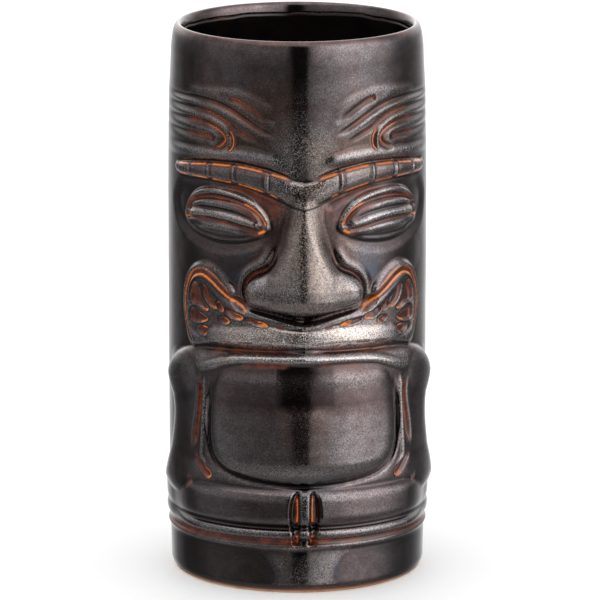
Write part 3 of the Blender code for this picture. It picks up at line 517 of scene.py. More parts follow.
    # lip channel, with a thin ridge along the middle of it
    f.line([(24.4, 88.5), (29, 90.6), (34, 93.2), (39, 95.9), (44, 98.4), (48.4, 99.2), (52.6, 98.2), (55.8, 95.6),
            (57.6, 91.6), (58, 86.6), (57, 81.6), (55, 77.6), (52.6, 75.4)], 1.6, -0.95, (0.06, 0.05))
    f.line([(31, 92), (36, 94.7), (41, 97.4), (45, 99.1), (49, 99.5), (53, 98.2), (56, 95.2)], 0.6, 0.45, (0.1, 0.3))
    f.mark("rust", [(24.6, 88.7), (28, 90.2), (33, 92.9), (38, 95.6), (43, 98.1), (48, 99.1), (52.5, 98.1), (55.8, 95.4),
                    (57.7, 91.4), (58, 86.6), (57, 81.8), (55, 77.8), (53, 75.2)], 1.45, 0.95, (0.04, 0.02), 1.2)
    f.mark("glow", [(31.4, 93.2), (36, 96.2), (40.6, 98.8), (45, 100.3), (50, 100.1), (54.4, 97.9), (57.4, 94.4),
                    (59, 90), (59.1, 85.4), (57.9, 80.8), (56, 77.6), (53.6, 75.4)], 0.44, 0.7, (0.06, 0.04), 1.3)
    f.mark("glow", [(24, 88.2), (28, 90), (33, 92.3), (38, 94.7), (42.6, 97.1), (47, 98.4), (51.6, 97.7), (54.8, 95),
                    (56.6, 91), (57, 86.4), (56.2, 82)], 0.46, 0.95, (0.03, 0.2), 1.5)
    f.mark("glow", [(30, 91.7), (35, 94.3), (40, 96.9), (44, 98.9)], 0.6, 0.45, (0.2, 0.4))
    f.mark("ink", [(33, 91.5), (38, 93.9), (43, 96.3), (47, 97.5), (51, 96.8), (54, 94.3), (55.7, 90.6), (56, 86)], 0.42,
           0.85, (0.1, 0.3))
    f.mark("ink", [(31, 94), (36, 97.1), (40.6, 99.7), (45, 101.1), (50, 101), (55, 98.6), (58.4, 94.6)], 0.4, 0.6,
           (0.1, 0.2))
    # the gums sit back in the corner, with the gaps between the teeth sunk in them
    gum = f.panel([(30, 88.4), (36, 91.8), (42, 94.8), (47, 96.6), (51, 96), (54.4, 92.6), (55.4, 86.4), (54.4, 80.6),
                   (50, 78.6), (44, 78.8), (41, 82), (36, 83)], 1.6)
    f.h -= 0.5 * gum
    f.pocket([(44.9, 95.2), (46.6, 95), (46.3, 92.6), (44.6, 90.3), (42, 88.9), (39.2, 88.5), (40.6, 90), (43, 92.4)], 0.9)
    f.pocket([(50.4, 95.7), (52, 95.2), (53.6, 92.6), (54, 90), (52.6, 88.8), (49.6, 88.7), (46.6, 87.7), (44, 87.6),
              (44.2, 88.6), (46.4, 89.8), (48.2, 92.6)], 0.9)
    f.pocket([(53.4, 87.4), (50, 86.7), (46.4, 85.9), (43.9, 85), (46, 83.9), (50, 83.2), (53.4, 83.4), (54.2, 85.4)], 0.9)
    f.pocket([(44.4, 82.3), (49.4, 82.1), (50.4, 80.9), (48, 79.7), (45.4, 79.8), (44, 80.9)], 0.8)
    f.pocket([(36, 87.9), (38.6, 88.5), (39.2, 90.4), (37.9, 91), (36.6, 89.6)], 0.8)
    f.pocket([(26.6, 86.3), (30, 86.2), (33.6, 87.2), (35, 88.6), (33.4, 89.1), (30, 88.0), (27, 87.3)], 0.8)
    f.pocket([(32.4, 85), (34.6, 84.3), (37.2, 84.8), (38, 85.8), (36, 86.3), (33.4, 85.8)], 0.7)
    f.pocket([(15.6, 84.7), (20, 84.8), (24, 85.6), (24.6, 86.5), (21, 86.3), (17, 85.6)], 0.6, 0.6)
    f.mark("rust", [(8, 84.1), (12, 84.5)], 0.55, 0.9, (0.2, 0.2))
    f.line([(0, 83.4), (4, 83.7), (9, 84), (15, 84.9), (21, 85.8), (27, 87), (34, 88.6), (40, 90)], 0.6, -0.5, (0, 0.15))
    f.mark("ink", [(0, 83.2), (4, 83.6), (9, 84)], 0.6, 0.6, (0.2, 0.3))
    # lower lip and chin
    f.h += 1.1 * f.dome(0, 80, 48, 4.8, 0.8)
    for a0, a1, z in ((21.4, 28.6, 79.3), (31.2, 37.6, 79.0)):
        f.line([(a0, z), (a1, z - 0.2)], 0.6, -0.2, (0.15, 0.15))
        f.mark("rust", [(a0, z), (a1, z - 0.2)], 0.5, 0.75, (0.1, 0.1))
    for a0 in (13.4, 43.0):
        f.line([(a0, 77.9), (a0 + 1.8, 79), (a0 + 4.2, 79), (a0 + 6.4, 77.7)], 0.5, -0.2, (0.1, 0.1), ink=0.35)
    f.line([(-4, 76.3), (8, 76.5), (20, 76.4), (32, 75.8), (42, 74.9)], 0.75, -0.8, (0, 0.2))
    f.mark("ink", [(-4, 77.2), (8, 77.3), (20, 77.2), (32, 76.6), (42, 75.7)], 0.36, 0.5, (0.0, 0.15))
    f.mark("ink", [(-4, 76.3), (2, 76.4), (7, 76.5)], 0.75, 0.85, (0.0, 0.5))
    f.mark("rust", [(3, 76.5), (12, 76.5), (20, 76.4), (32, 75.8), (43, 74.9)], 0.66, 1.0, (0.2, 0.1), 1.4)
    f.mark("glow", [(6, 76.3), (12, 76.3), (20, 76.2), (32, 75.6), (40, 75)], 0.42, 0.55, (0.25, 0.3))

    # ---- torso: shoulders, arms and elbows in one soft slab
    torso = [(-14, 76.2), (12, 76.3), (30, 76.0), (46, 75.4), (56, 74.7), (63, 73.2), (70, 70.4), (76, 66.8), (77, 64),
             (75, 60), (72, 56), (71.3, 52.4), (72.6, 47.6), (75.4, 42), (79, 37), (83.6, 33), (84.8, 30), (81, 27.8),
             (73, 27), (62, 27.2), (52, 29), (30, 31), (0, 31), (-14, 31)]
    sd = f.inside(torso, 14.0)
    q = np.clip(sd / 6.0, 0, 1)
    f.merge(np.where(sd > 0, 2.35 * np.sqrt(q * (2 - q)), -9), 0.35)
    f.h += 0.85 * f.dome(65, 66, 15, 8) + 0.6 * f.dome(64, 33.5, 18, 8)
    # chest roll under the chin that spreads out into the shoulders
    f.line([(-14, 74.5), (8, 74.5), (20, 74.4), (31, 73.6), (40, 71.6), (47, 69.6), (54, 69)], 1.9, 1.15, (0.0, 0.25),
           pale=0.6, paint=1.9)
    f.mark("pale", [(36, 72.2), (42, 71.4), (48, 71.8), (52, 73.6)], 3.0, 0.45, (0.2, 0.2))
    f.line([(48.8, 65.4), (47.7, 62), (48.1, 58), (49.3, 54), (50.6, 50), (51.4, 46), (52, 43)], 1.35, -1.3, (0.06, 0.25))
    f.mark("rust", [(48.9, 65.2), (47.9, 62), (48.3, 58), (49.4, 53.6), (50.6, 49.4), (51.9, 43)], 1.15, 1.0, (0.04, 0.25),
           1.3)
    f.mark("glow", [(49.4, 64), (48.7, 61), (49.1, 57), (50.2, 52.6), (51.4, 48)], 0.45, 0.6, (0.15, 0.3))
    f.mark("ink", [(47.8, 64.8), (46.8, 61), (47.3, 57), (48.4, 52), (49.8, 48)], 0.42, 0.7, (0.1, 0.3))

    # ---- belly: a broad pad in a thin frame
    belly = [(-14, 35.2), (0, 35.1), (14, 35.7), (28, 37.2), (36, 39.4), (40.6, 43), (42.4, 48), (42.6, 55), (41.6, 61),
             (40, 66), (36.4, 70), (31, 71.9), (20, 72.7), (0, 73), (-14, 73)]
    sd = f.inside(belly, 14.0)
    pad = ramp(0, 1.2, sd)
    q = np.clip(sd / 6.0, 0, 1)
    keep = np.interp(Z, [35, 37, 39, 42, 46, 50, 54, 58, 60.5, 63.5, 66, 67.6, 69.2, 71, 73],
                     [2.5, 3.6, 4.4, 5.0, 5.3, 5.15, 4.72, 4.2, 3.98, 4.0, 4.06, 3.98, 3.68, 3.15, 2.4])
    keep = keep * (0.74 + 0.26 * np.clip(1 - (A / 44) ** 2, 0, 1))
    swell = 2.0 + (keep - 2.0) * np.sqrt(q * (2 - q))
    flat = ramp(57.0, 61.0, Z) * ramp(74, 71, Z)
    swell = swell - 0.0037 * (144 - np.minimum(A, 12) ** 2) * flat
    f.h = np.where(pad > 0, np.minimum(f.h, 2.6) * (1 - pad) + pad * swell, f.h)
    f.line([(40.4, 67.4), (42, 63.6), (43.2, 57), (43.6, 50), (43, 45), (40.4, 41), (36, 38.4), (28, 36.4), (14, 34.9),
            (0, 34.4)], 0.85, -1.2, (0.15, 0))
    f.mark("rust", [(41.2, 65.4), (42.5, 61), (43.3, 55), (43.5, 49), (42.6, 44.4), (39.8, 40.8), (34, 38)], 0.8, 0.25,
           (0.15, 0.4))
    f.mark("ink", [(41.8, 64), (42.8, 60), (43.5, 54), (43.7, 49), (42.8, 44.4), (40, 40.8), (36, 38.6), (28, 36.6),
                   (14, 35.2), (0, 34.6)], 0.62, 0.9, (0.2, 0), 1.4)
    f.mark("rust", [(4, 72.5), (14, 72.5), (24, 72), (31, 70.8)], 1.5, 0.6, (0.2, 0.4))
    f.line([(45.4, 67.6), (45.2, 62), (45.7, 56), (46.2, 50), (46.8, 45), (46.6, 41), (42, 38)], 1.0, 0.7, (0.12, 0.15),
           pale=0.4)
    # fingers
    f.pocket([(50.6, 41.4), (51.4, 40.2), (48.6, 37.6), (45.4, 35.4), (42.6, 35.4), (42.4, 36.8), (45, 38.4), (48, 40.4)],
             0.9, 0.9)
    f.line([(53.3, 34.6), (54.2, 32.4), (57.4, 30.2)], 1.0, -0.8, (0.1, 0.3))
    f.mark("rust", [(53.3, 34.6), (54.2, 32.3), (57.2, 30.3)], 0.9, 0.95, (0.1, 0.2))

    # ---- legs and feet: rolls that run on round the back
    front = 1 - ramp(46, 74, A)
    y = (Z - 27.6) / 6.6
    thigh = np.clip(1 - np.abs(y) ** 3.4, 0, 1) ** 0.7
    f.merge(np.where(thigh > 0, (0.9 + 3.2 * front) * thigh, -9), 0.4)
    y = (Z - 19.7) / 2.1
    foot = np.clip(1 - np.abs(y) ** 2.6, 0, 1) ** 0.7
    f.merge(np.where(foot > 0, (0.9 + 2.9 * front) * foot, -9), 0.3)
    f.line([(0, 15.2), (60, 15.0), (100, 14.9), (180, 14.9)], 1.1, 0.7, (0, 0), pale=0.25)
    f.mark("pale", [(6, 33.2), (18, 33.6), (30, 35), (40, 37.6), (44, 40)], 1.5, 0.24, (0.1, 0.2))
    f.mark("pale", [(7, 20), (24, 20.4), (44, 20.8), (56, 21)], 1.8, 0.28, (0.1, 0.4))
    f.mark("ink", [(5, 21.7), (20, 21.6), (34, 21.9), (50, 22.6)], 0.45, 0.75, (0.05, 0.3))
    f.mark("rust", [(4.4, 16.9), (14, 17.1), (30, 17), (50, 16.7), (72, 16.3), (100, 16)], 1.6, 1.0, (0.0, 0.4), 1.6)
    f.mark("glow", [(4.6, 16.7), (10, 16.8), (18, 16.9)], 0.6, 0.6, (0.0, 0.7))
    split = f.panel([(1.7, 15.9), (3.0, 15.2), (5.4, 16), (5.6, 20), (6.6, 24), (6.4, 29), (5, 32.4), (3, 32.9),
                     (1.7, 31.6)], 0.9)
    f.h -= 1.7 * split
    f.mark("rust", [(3.3, 31.9), (3.2, 27), (3.4, 22.2)], 0.85, 1.0, (0.04, 0.04), 1.4)
    f.mark("rust", [(3.3, 19.6), (3.2, 17), (3.3, 15.6)], 0.75, 1.0, (0.04, 0.04), 1.4)
    f.mark("glow", [(3.2, 31.6), (3.0, 27), (3.3, 22.8)], 0.46, 0.85, (0.1, 0.1), 1.1)
    f.mark("glow", [(3.2, 19.4), (3.0, 17), (3.2, 15.9)], 0.46, 0.85, (0.06, 0.06), 1.3)
    # black beside the sunk split: painted shade on its outer walls
    f.mark("ink", [(5.5, 31.8), (5.8, 28), (6.4, 24.6)], 1.1, 0.95, (0.1, 0.1), 1.4)
    f.mark("ink", [(5.0, 21.8), (3, 21.4)], 0.9, 0.9, (0.1, 0.1))
    f.mark("pale", [(0, 33), (0, 24), (0, 15.6)], 0.9, 0.34, (0.02, 0.02))
    # a run of heavier glaze down the base
    run = f.inside([(-8, 15.2), (18, 15.2), (20.5, 13.6), (17, 12.2), (14.4, 9.6), (12.6, 6.6), (12.8, 3.4), (15, 1.4),
                    (0, 1.2), (-8, 1.2)], 3.0)
    f.pale = np.maximum(f.pale, 0.42 * ramp(-0.2, 1.6, run))
    f.pale = np.maximum(f.pale, 0.55 * np.clip(1 - ((run + 0.1) / 0.7) ** 2, 0, 1) * (Z > 1.6) * (Z < 14.6))
    f.h += 0.06 * ramp(-0.3, 0.8, run)
    f.blue = np.maximum(f.blue, 0.7 * f.dome(31, 101.5, 6, 5.5, 1.0, 20))
    f.blue = np.maximum(f.blue, 0.5 * f.dome(27, 106, 5, 3, 1.0, 0))
    f.blue = np.maximum(f.blue, 0.35 * f.dome(6, 80.4, 5, 2.4, 1.0, 0))
    f.blue = np.maximum(f.blue, 0.4 * f.dome(14.5, 6.5, 2.6, 6.0, 1.0, 0))
    # where the crystals lie thickest over the face
    f.pale = np.maximum(f.pale, 0.62 * ramp(0, 3, f.inside(nose, 14.0)))
    f.pale = np.maximum(f.pale, 0.95 * ramp(48, 24, A) * ramp(74.5, 78, Z) * ramp(88, 82, Z))
    f.pale = np.maximum(f.pale, 0.58 * ramp(19, 6, A) * ramp(112, 128, Z) * ramp(153, 138, Z))
    f.pale = np.maximum(f.pale, 0.22 * ramp(34, 14, A) * ramp(92, 100, Z) * ramp(114, 106, Z))
    f.pale = np.maximum(f.pale, (0.10 + 0.05 * ramp(50, 38, Z)) * f.panel(belly, 5.0))
    f.pale *= 1 - 0.85 * np.clip(f.rust, 0, 1)
    # the glaze runs thin and brown on top, thick and dark at the base; the tone also darkens the legs, cheeks, hair and
    # nose, carries painted highlights on the lower belly, the lower lip and the chest roll, and painted shade across
    # the top of the belly
    f.tone = ((-0.42 + 0.66 * ramp(-0.5, 1.5, run)) * ramp(15.5, 13.5, Z) - 0.23 * ramp(14, 16, Z) * ramp(36, 32, Z)
              # lower belly brighter as a painted highlight, top of the belly darker as painted shade
              + 0.16 * f.panel(belly, 5.0) * ramp(60, 46, Z) - 0.26 * f.panel(belly, 4.0) * ramp(56, 63, Z)
              # the lower lip brighter as a painted highlight
              + 0.50 * ramp(48, 30, A) * ramp(76.6, 78.4, Z) * ramp(86, 82, Z)
              # the chest roll under the chin brighter as a painted highlight
              + 0.30 * ramp(40, 28, A) * ramp(72.6, 73.8, Z) * ramp(77, 76, Z)
              - 0.34 * ramp(26, 31, A) * ramp(66, 56, A) * ramp(90, 96, Z) * ramp(112, 106, Z)
              - 0.28 * ramp(11, 18, A) * ramp(137, 141, Z) * ramp(158, 153, Z)
              - 0.22 * ramp(30, 26, A) * ramp(87, 89, Z) * ramp(124, 116, Z))
    f.warmth = np.clip(0.75 * ramp(124, 134, Z) * ramp(166, 150, Z) * ramp(76, 40, A)
                       + 0.5 * ramp(34, 20, A) * ramp(84, 92, Z) * ramp(128, 118, Z)
                       + 0.35 * ramp(70, 76, Z) * ramp(88, 84, Z)
                       + 0.22 * f.panel(belly, 4.0) * ramp(46, 62, Z)
                       + 0.42 * ramp(13, 7, A) * ramp(36, 38, Z) * ramp(62, 58, Z), 0, 1)
    f.tan = np.clip(ramp(17, 4, A) * ramp(84, 92, Z) * ramp(156, 140, Z)
                    + 0.55 * ramp(44, 30, A) * ramp(75, 77, Z) * ramp(86, 83, Z)
                    + 0.6 * ramp(12, 5, A) * ramp(36, 38, Z) * ramp(60, 56, Z)
                    + 0.6 * ramp(-0.2, 1.5, run), 0, 1)
    return f


def drum(z):
    return np.interp(z, [0, 1.5, 3.0, 14, 24, 60, 120, 150, 160, 164],
                     [R_FOOT - 1.3, R_FOOT - 0.35, R_FOOT + 0.1, R_FOOT + 0.3, R_BODY - 0.1,
                      R_BODY, R_BODY, R_BODY - 0.35, R_TOP, R_TOP - 0.15])


# ============================================================ the three shells
def soft_noise(seed, cols_deg, rows_z, cell_deg, cell_z):
    """Smooth seeded noise on the wall, closed round the drum, about -1 to 1."""
    rng = np.random.RandomState(seed)
    nu, nz = max(4, int(round(360 / cell_deg))), int(np.ceil(175 / cell_z)) + 4
    g = rng.uniform(-1, 1, (nz, nu))
    cu = (cols_deg % 360) / (360 / nu)
    cz = rows_z / cell_z + 1
    iu, iz = np.floor(cu).astype(int), np.clip(np.floor(cz).astype(int), 1, nz - 3)
    fu, fz = cu - iu, cz - iz

    def w(t):
        return [((-0.5 * t + 1) * t - 0.5) * t, (1.5 * t - 2.5) * t * t + 1, ((-1.5 * t + 2) * t + 0.5) * t,
                (0.5 * t - 0.5) * t * t]
    wu, wz = w(fu), w(fz)
    out = np.zeros((len(rows_z), len(cols_deg)))
    for j in range(4):
        for i in range(4):
            out += (wz[j][:, None] * wu[i][None, :]) * g[np.clip(iz + j - 1, 0, nz - 1)[:, None],
                                                         ((iu + i - 1) % nu)[None, :]]
    return out


def blur(a, n, m=None):
    """Box blur along both directions of the wall grid, n rows and m columns each way."""
    m = n if m is None else m
    out = sum(np.roll(a, k, 1) for k in range(-m, m + 1)) / (2 * m + 1)
    pad = np.pad(out, ((n, n), (0, 0)), mode="edge")
    return sum(pad[n + k:n + k + a.shape[0]] for k in range(-n, n + 1)) / (2 * n + 1)


def lowest(a, n, m):
    out = a
    for k in range(-m, m + 1):
        out = np.minimum(out, np.roll(a, k, 1))
    pad = np.pad(out, ((n, n), (0, 0)), mode="edge")
    res = out
    for k in range(-n, n + 1):
        res = np.minimum(res, pad[n + k:n + k + a.shape[0]])
    return res


half_cols = np.concatenate([np.arange(0, 62.0, 0.5), np.arange(62.0, 96.0, 1.0), np.arange(96.0, 180.1, 3.0)])
cols = np.concatenate([-half_cols[:0:-1], half_cols[:-1]])
cols = np.concatenate([[-180.0], cols[cols > -179.9]])
rows = np.concatenate([np.arange(3.0, 14.0, 1.0), np.arange(14.0, 34.0, 0.42), np.arange(34.0, 50.0, 0.5),
                       np.arange(50.0, 72.0, 0.7), np.arange(72.0, 136.0, 0.36), np.arange(136.0, 156.0, 0.42),
                       np.linspace(156.4, 163.4, 8)])
NC, NR = len(cols), len(rows)
S, Zg = np.meshgrid(half_cols * K, rows)
F = carve(S, Zg)
half_at = np.abs(cols)
pick = np.array([int(np.argmin(np.abs(half_cols - a))) for a in half_at])


def whole(a):
    return a[:, pick]


fade = (ramp(3.0, 6.0, rows) * (1 - ramp(156.0, 161.0, rows)))[:, None]
relief = whole(F.h)
relief = 0.55 * relief + 0.45 * blur(relief, 1)
relief = relief * fade
relief = relief + 0.05 * soft_noise(5, cols, rows, 20, 14) * fade + 0.012 * soft_noise(6, cols, rows, 6, 4) * fade
masks = {n: whole(getattr(F, n)) for n in ("rust", "ink", "pale", "glow", "blue", "tone", "warmth", "tan")}
fine = relief - blur(relief, 3)
wide = relief - blur(relief, 12)
masks["crest"] = np.clip(fine / 0.12, 0, 1) * fade
masks["pool"] = np.clip(-fine / 0.14, 0, 1) * fade
masks["lift"] = np.clip(0.5 + wide / 1.6, 0, 1)


class Shell:
    """Vertices, faces and point values of one piece."""

    def __init__(self):
        self.v, self.f, self.val = [], [], {}
        self.count = 0

    def ring(self, r, z, deg=cols, **values):
        u = np.radians(np.asarray(deg, float))
        r, z = np.broadcast_to(r, u.shape), np.broadcast_to(z, u.shape)
        self.v.append(np.stack([r * np.sin(u), -r * np.cos(u), z], 1) * MM)
        for k in set(self.val) | set(values):
            col = self.val.setdefault(k, [np.zeros(self.count)] if self.count else [])
            col.append(np.broadcast_to(values.get(k, 0.0), u.shape).astype(float))
        first = self.count
        self.count += len(u)
        return list(range(first, self.count))

    def point(self, z, **values):
        self.v.append(np.array([[0.0, 0.0, z * MM]]))
        for k in set(self.val) | set(values):
            col = self.val.setdefault(k, [np.zeros(self.count)] if self.count else [])
            col.append(np.array([float(values.get(k, 0.0))]))
        self.count += 1
        return self.count - 1

    def strip(self, a, b):
        n = len(a)
        self.f += [(a[i], a[(i + 1) % n], b[(i + 1) % n], b[i]) for i in range(n)]

    def fan(self, ring, tip, up):
        n = len(ring)
        self.f += [((ring[i], ring[(i + 1) % n], tip) if up else (ring[(i + 1) % n], ring[i], tip)) for i in range(n)]

    def make(self, name, mat):
        me = bpy.data.meshes.new(name)
        me.from_pydata(np.concatenate(self.v).tolist(), [], self.f)
        for k, parts in self.val.items():
            at = me.attributes.new(k, "FLOAT", "POINT")
            at.data.foreach_set("value", np.concatenate(parts).astype(np.float32))
        me.validate()
        me.update()
        me.shade_smooth()
        ob = bpy.data.objects.new(name, me)
        SCN.collection.objects.link(ob)
        me.materials.append(mat)
        return ob


def lip_point(deg, depth=0.0):
    """The rounded lip: 0 degrees faces out, 90 is the crest, 180 faces in."""
    a = radians(deg)
    c, s = cos(a), sin(a)
    wide = (R_TOP - 0.62 - LIP_R) if c > 0 else (LIP_R - R_IN)
    return LIP_R + (wide - depth) * c, LIP_Z + (HIGH - LIP_Z - depth) * s


u_all = np.radians(cols)
edge_in = (168.35 + 0.17 * np.sin(3 * u_all + 0.6) + 0.14 * np.sin(7 * u_all + 2.1) + 0.09 * np.sin(13 * u_all)
           + 0.06 * np.sin(23 * u_all + 1.0))
edge_foot = 1.35 + 0.10 * np.sin(4 * u_all + 1.0) + 0.07 * np.sin(11 * u_all) + 0.05 * np.sin(19 * u_all + 2.0)
wall_r = drum(rows)[:, None] + relief
THICK = 0.45


def smooth_profile(points, step):
    p = [np.array(q, float) for q in points]
    n, out = len(p), []
    for i in range(n - 1):
        b, c = p[i], p[i + 1]
        a = p[i - 1] if i else 2 * b - c
        d = p[i + 2] if i + 2 < n else 2 * c - b
        for k in range(step):
            t = k / step
            out.append(0.5 * (2 * b + (c - a) * t + (2 * a - 5 * b + 4 * c - d) * t * t
                              + (3 * b - a - 3 * c + d) * t ** 3))
    out.append(p[-1])
    return out


LIP = smooth_profile([(R_TOP - 0.15, 164.1), (R_TOP - 0.27, 165.4), (R_TOP - 0.44, 166.8), (R_TOP - 0.63, 168.1),
                      (R_TOP - 0.9, 169.4), (R_TOP - 1.32, 170.4), (R_TOP - 1.9, 171.18), (36.5, HIGH),
                      (35.94, 171.22), (35.5, 170.62), (35.2, 169.9)], 2)

# rows of the underside of the coat, which the clay backs
deep_rows = np.concatenate([np.arange(3.0, 34.0, 2.0), np.arange(34.0, 74.0, 2.6), np.arange(74.0, 158.0, 2.0),
                            [160.5, 163.4]])
low_r = lowest(wall_r, 7, 3)
deep_r = np.stack([np.array([np.interp(z, rows, low_r[:, i]) for i in range(NC)]) for z in deep_rows]) - THICK


def deep(shell, sink, upward):
    """Rings of the hidden face under the coat, from the foot to the lip or back."""
    rings = [(np.full(NC, drum(2.1) - THICK), 2.1)] + [(deep_r[i], float(z)) for i, z in enumerate(deep_rows)]
    rings += [(np.full(NC, r), z) for r, z in ((38.2, 166.4), (37.7, 168.8), (37.3, 170.0), (36.5, 170.9),
                                                (36.0, 170.5), (35.68, 169.8), (35.46, 169.1))]
    if not upward:
        rings = rings[::-1]
    return [shell.ring(r - sink if z < 168 and r.min() > 36 else r + (sink if z < 169.6 and r.min() < 36 else 0),
                       z - (sink if z > 169.6 else 0)) for r, z in rings]


def make_coat():
    s = Shell()
    e = edge_foot
    d = lambda z: drum(z)
    thin = lambda w: np.clip(w + 0.35 * np.sin(9 * u_all + 1.3) * w, 0, 1)
    part = np.clip(0.35 + 0.5 * np.sin(2 * u_all + 1.1) + 0.25 * np.sin(5 * u_all + 0.4), 0.06, 1)
    rings = [s.ring(d(e) - 0.40, e + 0.02, rust=0.8), s.ring(d(e) - 0.17, e - 0.07, rust=1.0, glow=0.5 * part),
             s.ring(d(e) + 0.0, e + 0.03, rust=part, glow=0.6 * part), s.ring(d(e + 0.3) + 0.05, e + 0.3, rust=0.6 * part),
             s.ring(d(e + 0.7) + 0.03, e + 0.7, rust=0.2 * part), s.ring(d(2.55) + 0.01, 2.55)]
    for j in range(NR):
        rings.append(s.ring(wall_r[j], rows[j], **{k: m[j] for k, m in masks.items()}))
    for r, z in LIP:
        t = np.exp(-((z - 171.0) / 1.0) ** 2) if r > 36.4 else 0.6 * np.exp(-((z - 171.1) / 0.9) ** 2)
        rings.append(s.ring(r, z, rust=0.42 * t, lift=0.5, crest=0.0))
    spot = 0.08 + 0.92 * np.exp(-((np.degrees(u_all) + 140) / 9) ** 2)
    for off, r, w in ((0.72, R_IN + 0.1, 0.0), (0.4, R_IN + 0.05, 0.25), (0.16, R_IN + 0.04, 0.6), (0.0, R_IN + 0.12, 0.9),
                      (-0.02, R_IN + 0.34, 0.9)):
        rings.append(s.ring(r, edge_in + off, rust=thin(w) * np.clip(spot - 0.3, 0, 1), glow=w * spot * (spot > 0.3),
                            ink=np.clip(1.6 * w, 0, 1) * (1 - np.clip(spot * 1.2, 0, 1))))
    rings += deep(s, 0.0, False)
    for a, b in zip(rings, rings[1:] + rings[:1]):
        s.strip(a, b)
    return s


def inner_profile(depth):
    out = []
    for z in (160, 145, 130, 110, 90, 70, 50, 34, 24):
        t = (167.7 - z) / (167.7 - 16.0)
        out.append((R_IN + (R_IN_LOW - R_IN) * t + depth, z))
    rc, zc = R_IN_LOW - FILLET, FLOOR_Z + FILLET
    for i in range(7):
        a = radians(90 * i / 6)
        q = FILLET + depth
        out.append((rc + q * cos(a), zc - q * sin(a)))
    return out


def make_liner():
    s = Shell()
    e = edge_in - 0.14
    rings = [s.ring(R_IN + 0.40, e - 0.02), s.ring(R_IN + 0.2, e - 0.03), s.ring(R_IN + 0.04, e - 0.16, edge=0.35),
             s.ring(R_IN + 0.01, e - 0.9), s.ring(R_IN + 0.01, 165.6), s.ring(R_IN + 0.015, 163.0)]
    wob = soft_noise(9, cols, np.array([p[1] for p in smooth_profile(inner_profile(0), 3)]), 24, 18)
    for i, (r, z) in enumerate(smooth_profile(inner_profile(0.0), 3)):
        rings.append(s.ring(r + 0.035 * wob[i] * (z > 12), z))
    for r in (22, 17, 12, 7, 3):
        rings.append(s.ring(float(r), FLOOR_Z - 0.12 * (1 - (r / 26) ** 2)))
    tip = s.point(FLOOR_Z - 0.12)
    under = [s.ring(R_IN + 0.42, 166.8)] + [s.ring(r, z) for r, z in smooth_profile(inner_profile(0.5), 1)]
    under += [s.ring(float(r), FLOOR_Z - 0.55) for r in (20, 10)]
    tip2 = s.point(FLOOR_Z - 0.55)
    for a, b in zip(rings, rings[1:]):
        s.strip(a, b)
    s.fan(rings[-1], tip, True)
    for a, b in zip(under[::-1], under[-2::-1]):
        s.strip(a, b)
    s.strip(under[0], rings[0])
    s.fan(under[-1], tip2, False)
    return s


def make_body():
    s = Shell()
    # underside, from the middle out: a shallow dish, a fettled foot ring, the heel
    dish = 1.25
    foot = [(3.0, dish), (8.0, dish), (14.0, dish), (20.0, dish), (26.0, dish), (29.2, dish - 0.04), (30.2, dish - 0.22),
            (30.9, 0.66), (31.6, 0.20), (32.4, 0.02), (33.4, 0.0), (34.6, 0.0), (35.8, 0.0), (36.8, 0.0), (37.35, 0.03),
            (37.8, 0.16), (38.15, 0.42), (38.42, 0.78), (38.56, 1.12), (38.62, 1.5)]
    prof = smooth_profile(foot, 3)
    tip = s.point(dish + 0.05)
    marks = soft_noise(12, cols, np.array([p[0] for p in prof]) * 2.2, 12, 3)
    rings = []
    for i, (r, z) in enumerate(prof):
        ripple = 0.03 * (0.5 + 0.5 * sin(2.6 * r)) + 0.02 * (1 + marks[i]) if r < 31 else 0.004 * (1 + marks[i])
        # the dish value darkens the clay inside the dish as painted shade, deepest in a painted shadow line along its
        # edge
        rings.append(s.ring(float(r), max(0.0, float(z) + float(np.min(ripple))) if z < 0.02 else np.maximum(0.0, float(z) + ripple), wear=float(ramp(32.0, 33.4, r) * (1 - ramp(37.0, 38.0, r))),
                            dished=float(ramp(32.2, 31.0, r) * (0.55 + 0.45 * ramp(27.5, 30.6, r))),
                            skirt=float(ramp(0.5, 1.2, z) * (r > 36))))
    for a, b in zip(rings, rings[1:]):
        s.strip(a, b)
    s.fan(rings[0], tip, False)
    wall = deep(s, 0.06, True)
    last = rings[-1]
    for ring in wall:
        s.strip(last, ring)
        last = ring
    inner = [s.ring(R_IN + 0.52, 167.4), s.ring(R_IN + 0.56, 164.0)]
    inner += [s.ring(r, z) for r, z in smooth_profile(inner_profile(0.58), 1)]
    inner += [s.ring(float(r), FLOOR_Z - 0.62) for r in (20, 10)]
    for ring in inner:
        s.strip(last, ring)
        last = ring
    tip2 = s.point(FLOOR_Z - 0.62)
    s.fan(last, tip2, True)
    return s


# =================================================================== finishes
def new_material(name):
    mat = bpy.data.materials.new(name)
    mat.use_nodes = True
    return mat, mat.node_tree, mat.node_tree.nodes["Principled BSDF"]


def noise_node(nt, coord, scale, detail=2.0, rough=0.5, lac=2.0):
    n = nt.nodes.new("ShaderNodeTexNoise")
    n.inputs["Scale"].default_value = scale
    n.inputs["Detail"].default_value = detail
    n.inputs["Roughness"].default_value = rough
    n.inputs["Lacunarity"].default_value = lac
    nt.links.new(coord, n.inputs["Vector"])
    return n.outputs["Fac"]


def value_of(nt, name):
    n = nt.nodes.new("ShaderNodeAttribute")
    n.attribute_name = name
    return n.outputs["Fac"]


def step_node(nt, v, lo, hi, to_lo=0.0, to_hi=1.0):
    n = nt.nodes.new("ShaderNodeMapRange")
    n.interpolation_type = "SMOOTHSTEP"
    n.inputs["From Min"].default_value = lo
    n.inputs["From Max"].default_value = hi
    n.inputs["To Min"].default_value = to_lo
    n.inputs["To Max"].default_value = to_hi
    nt.links.new(v, n.inputs["Value"])
    return n.outputs["Result"]


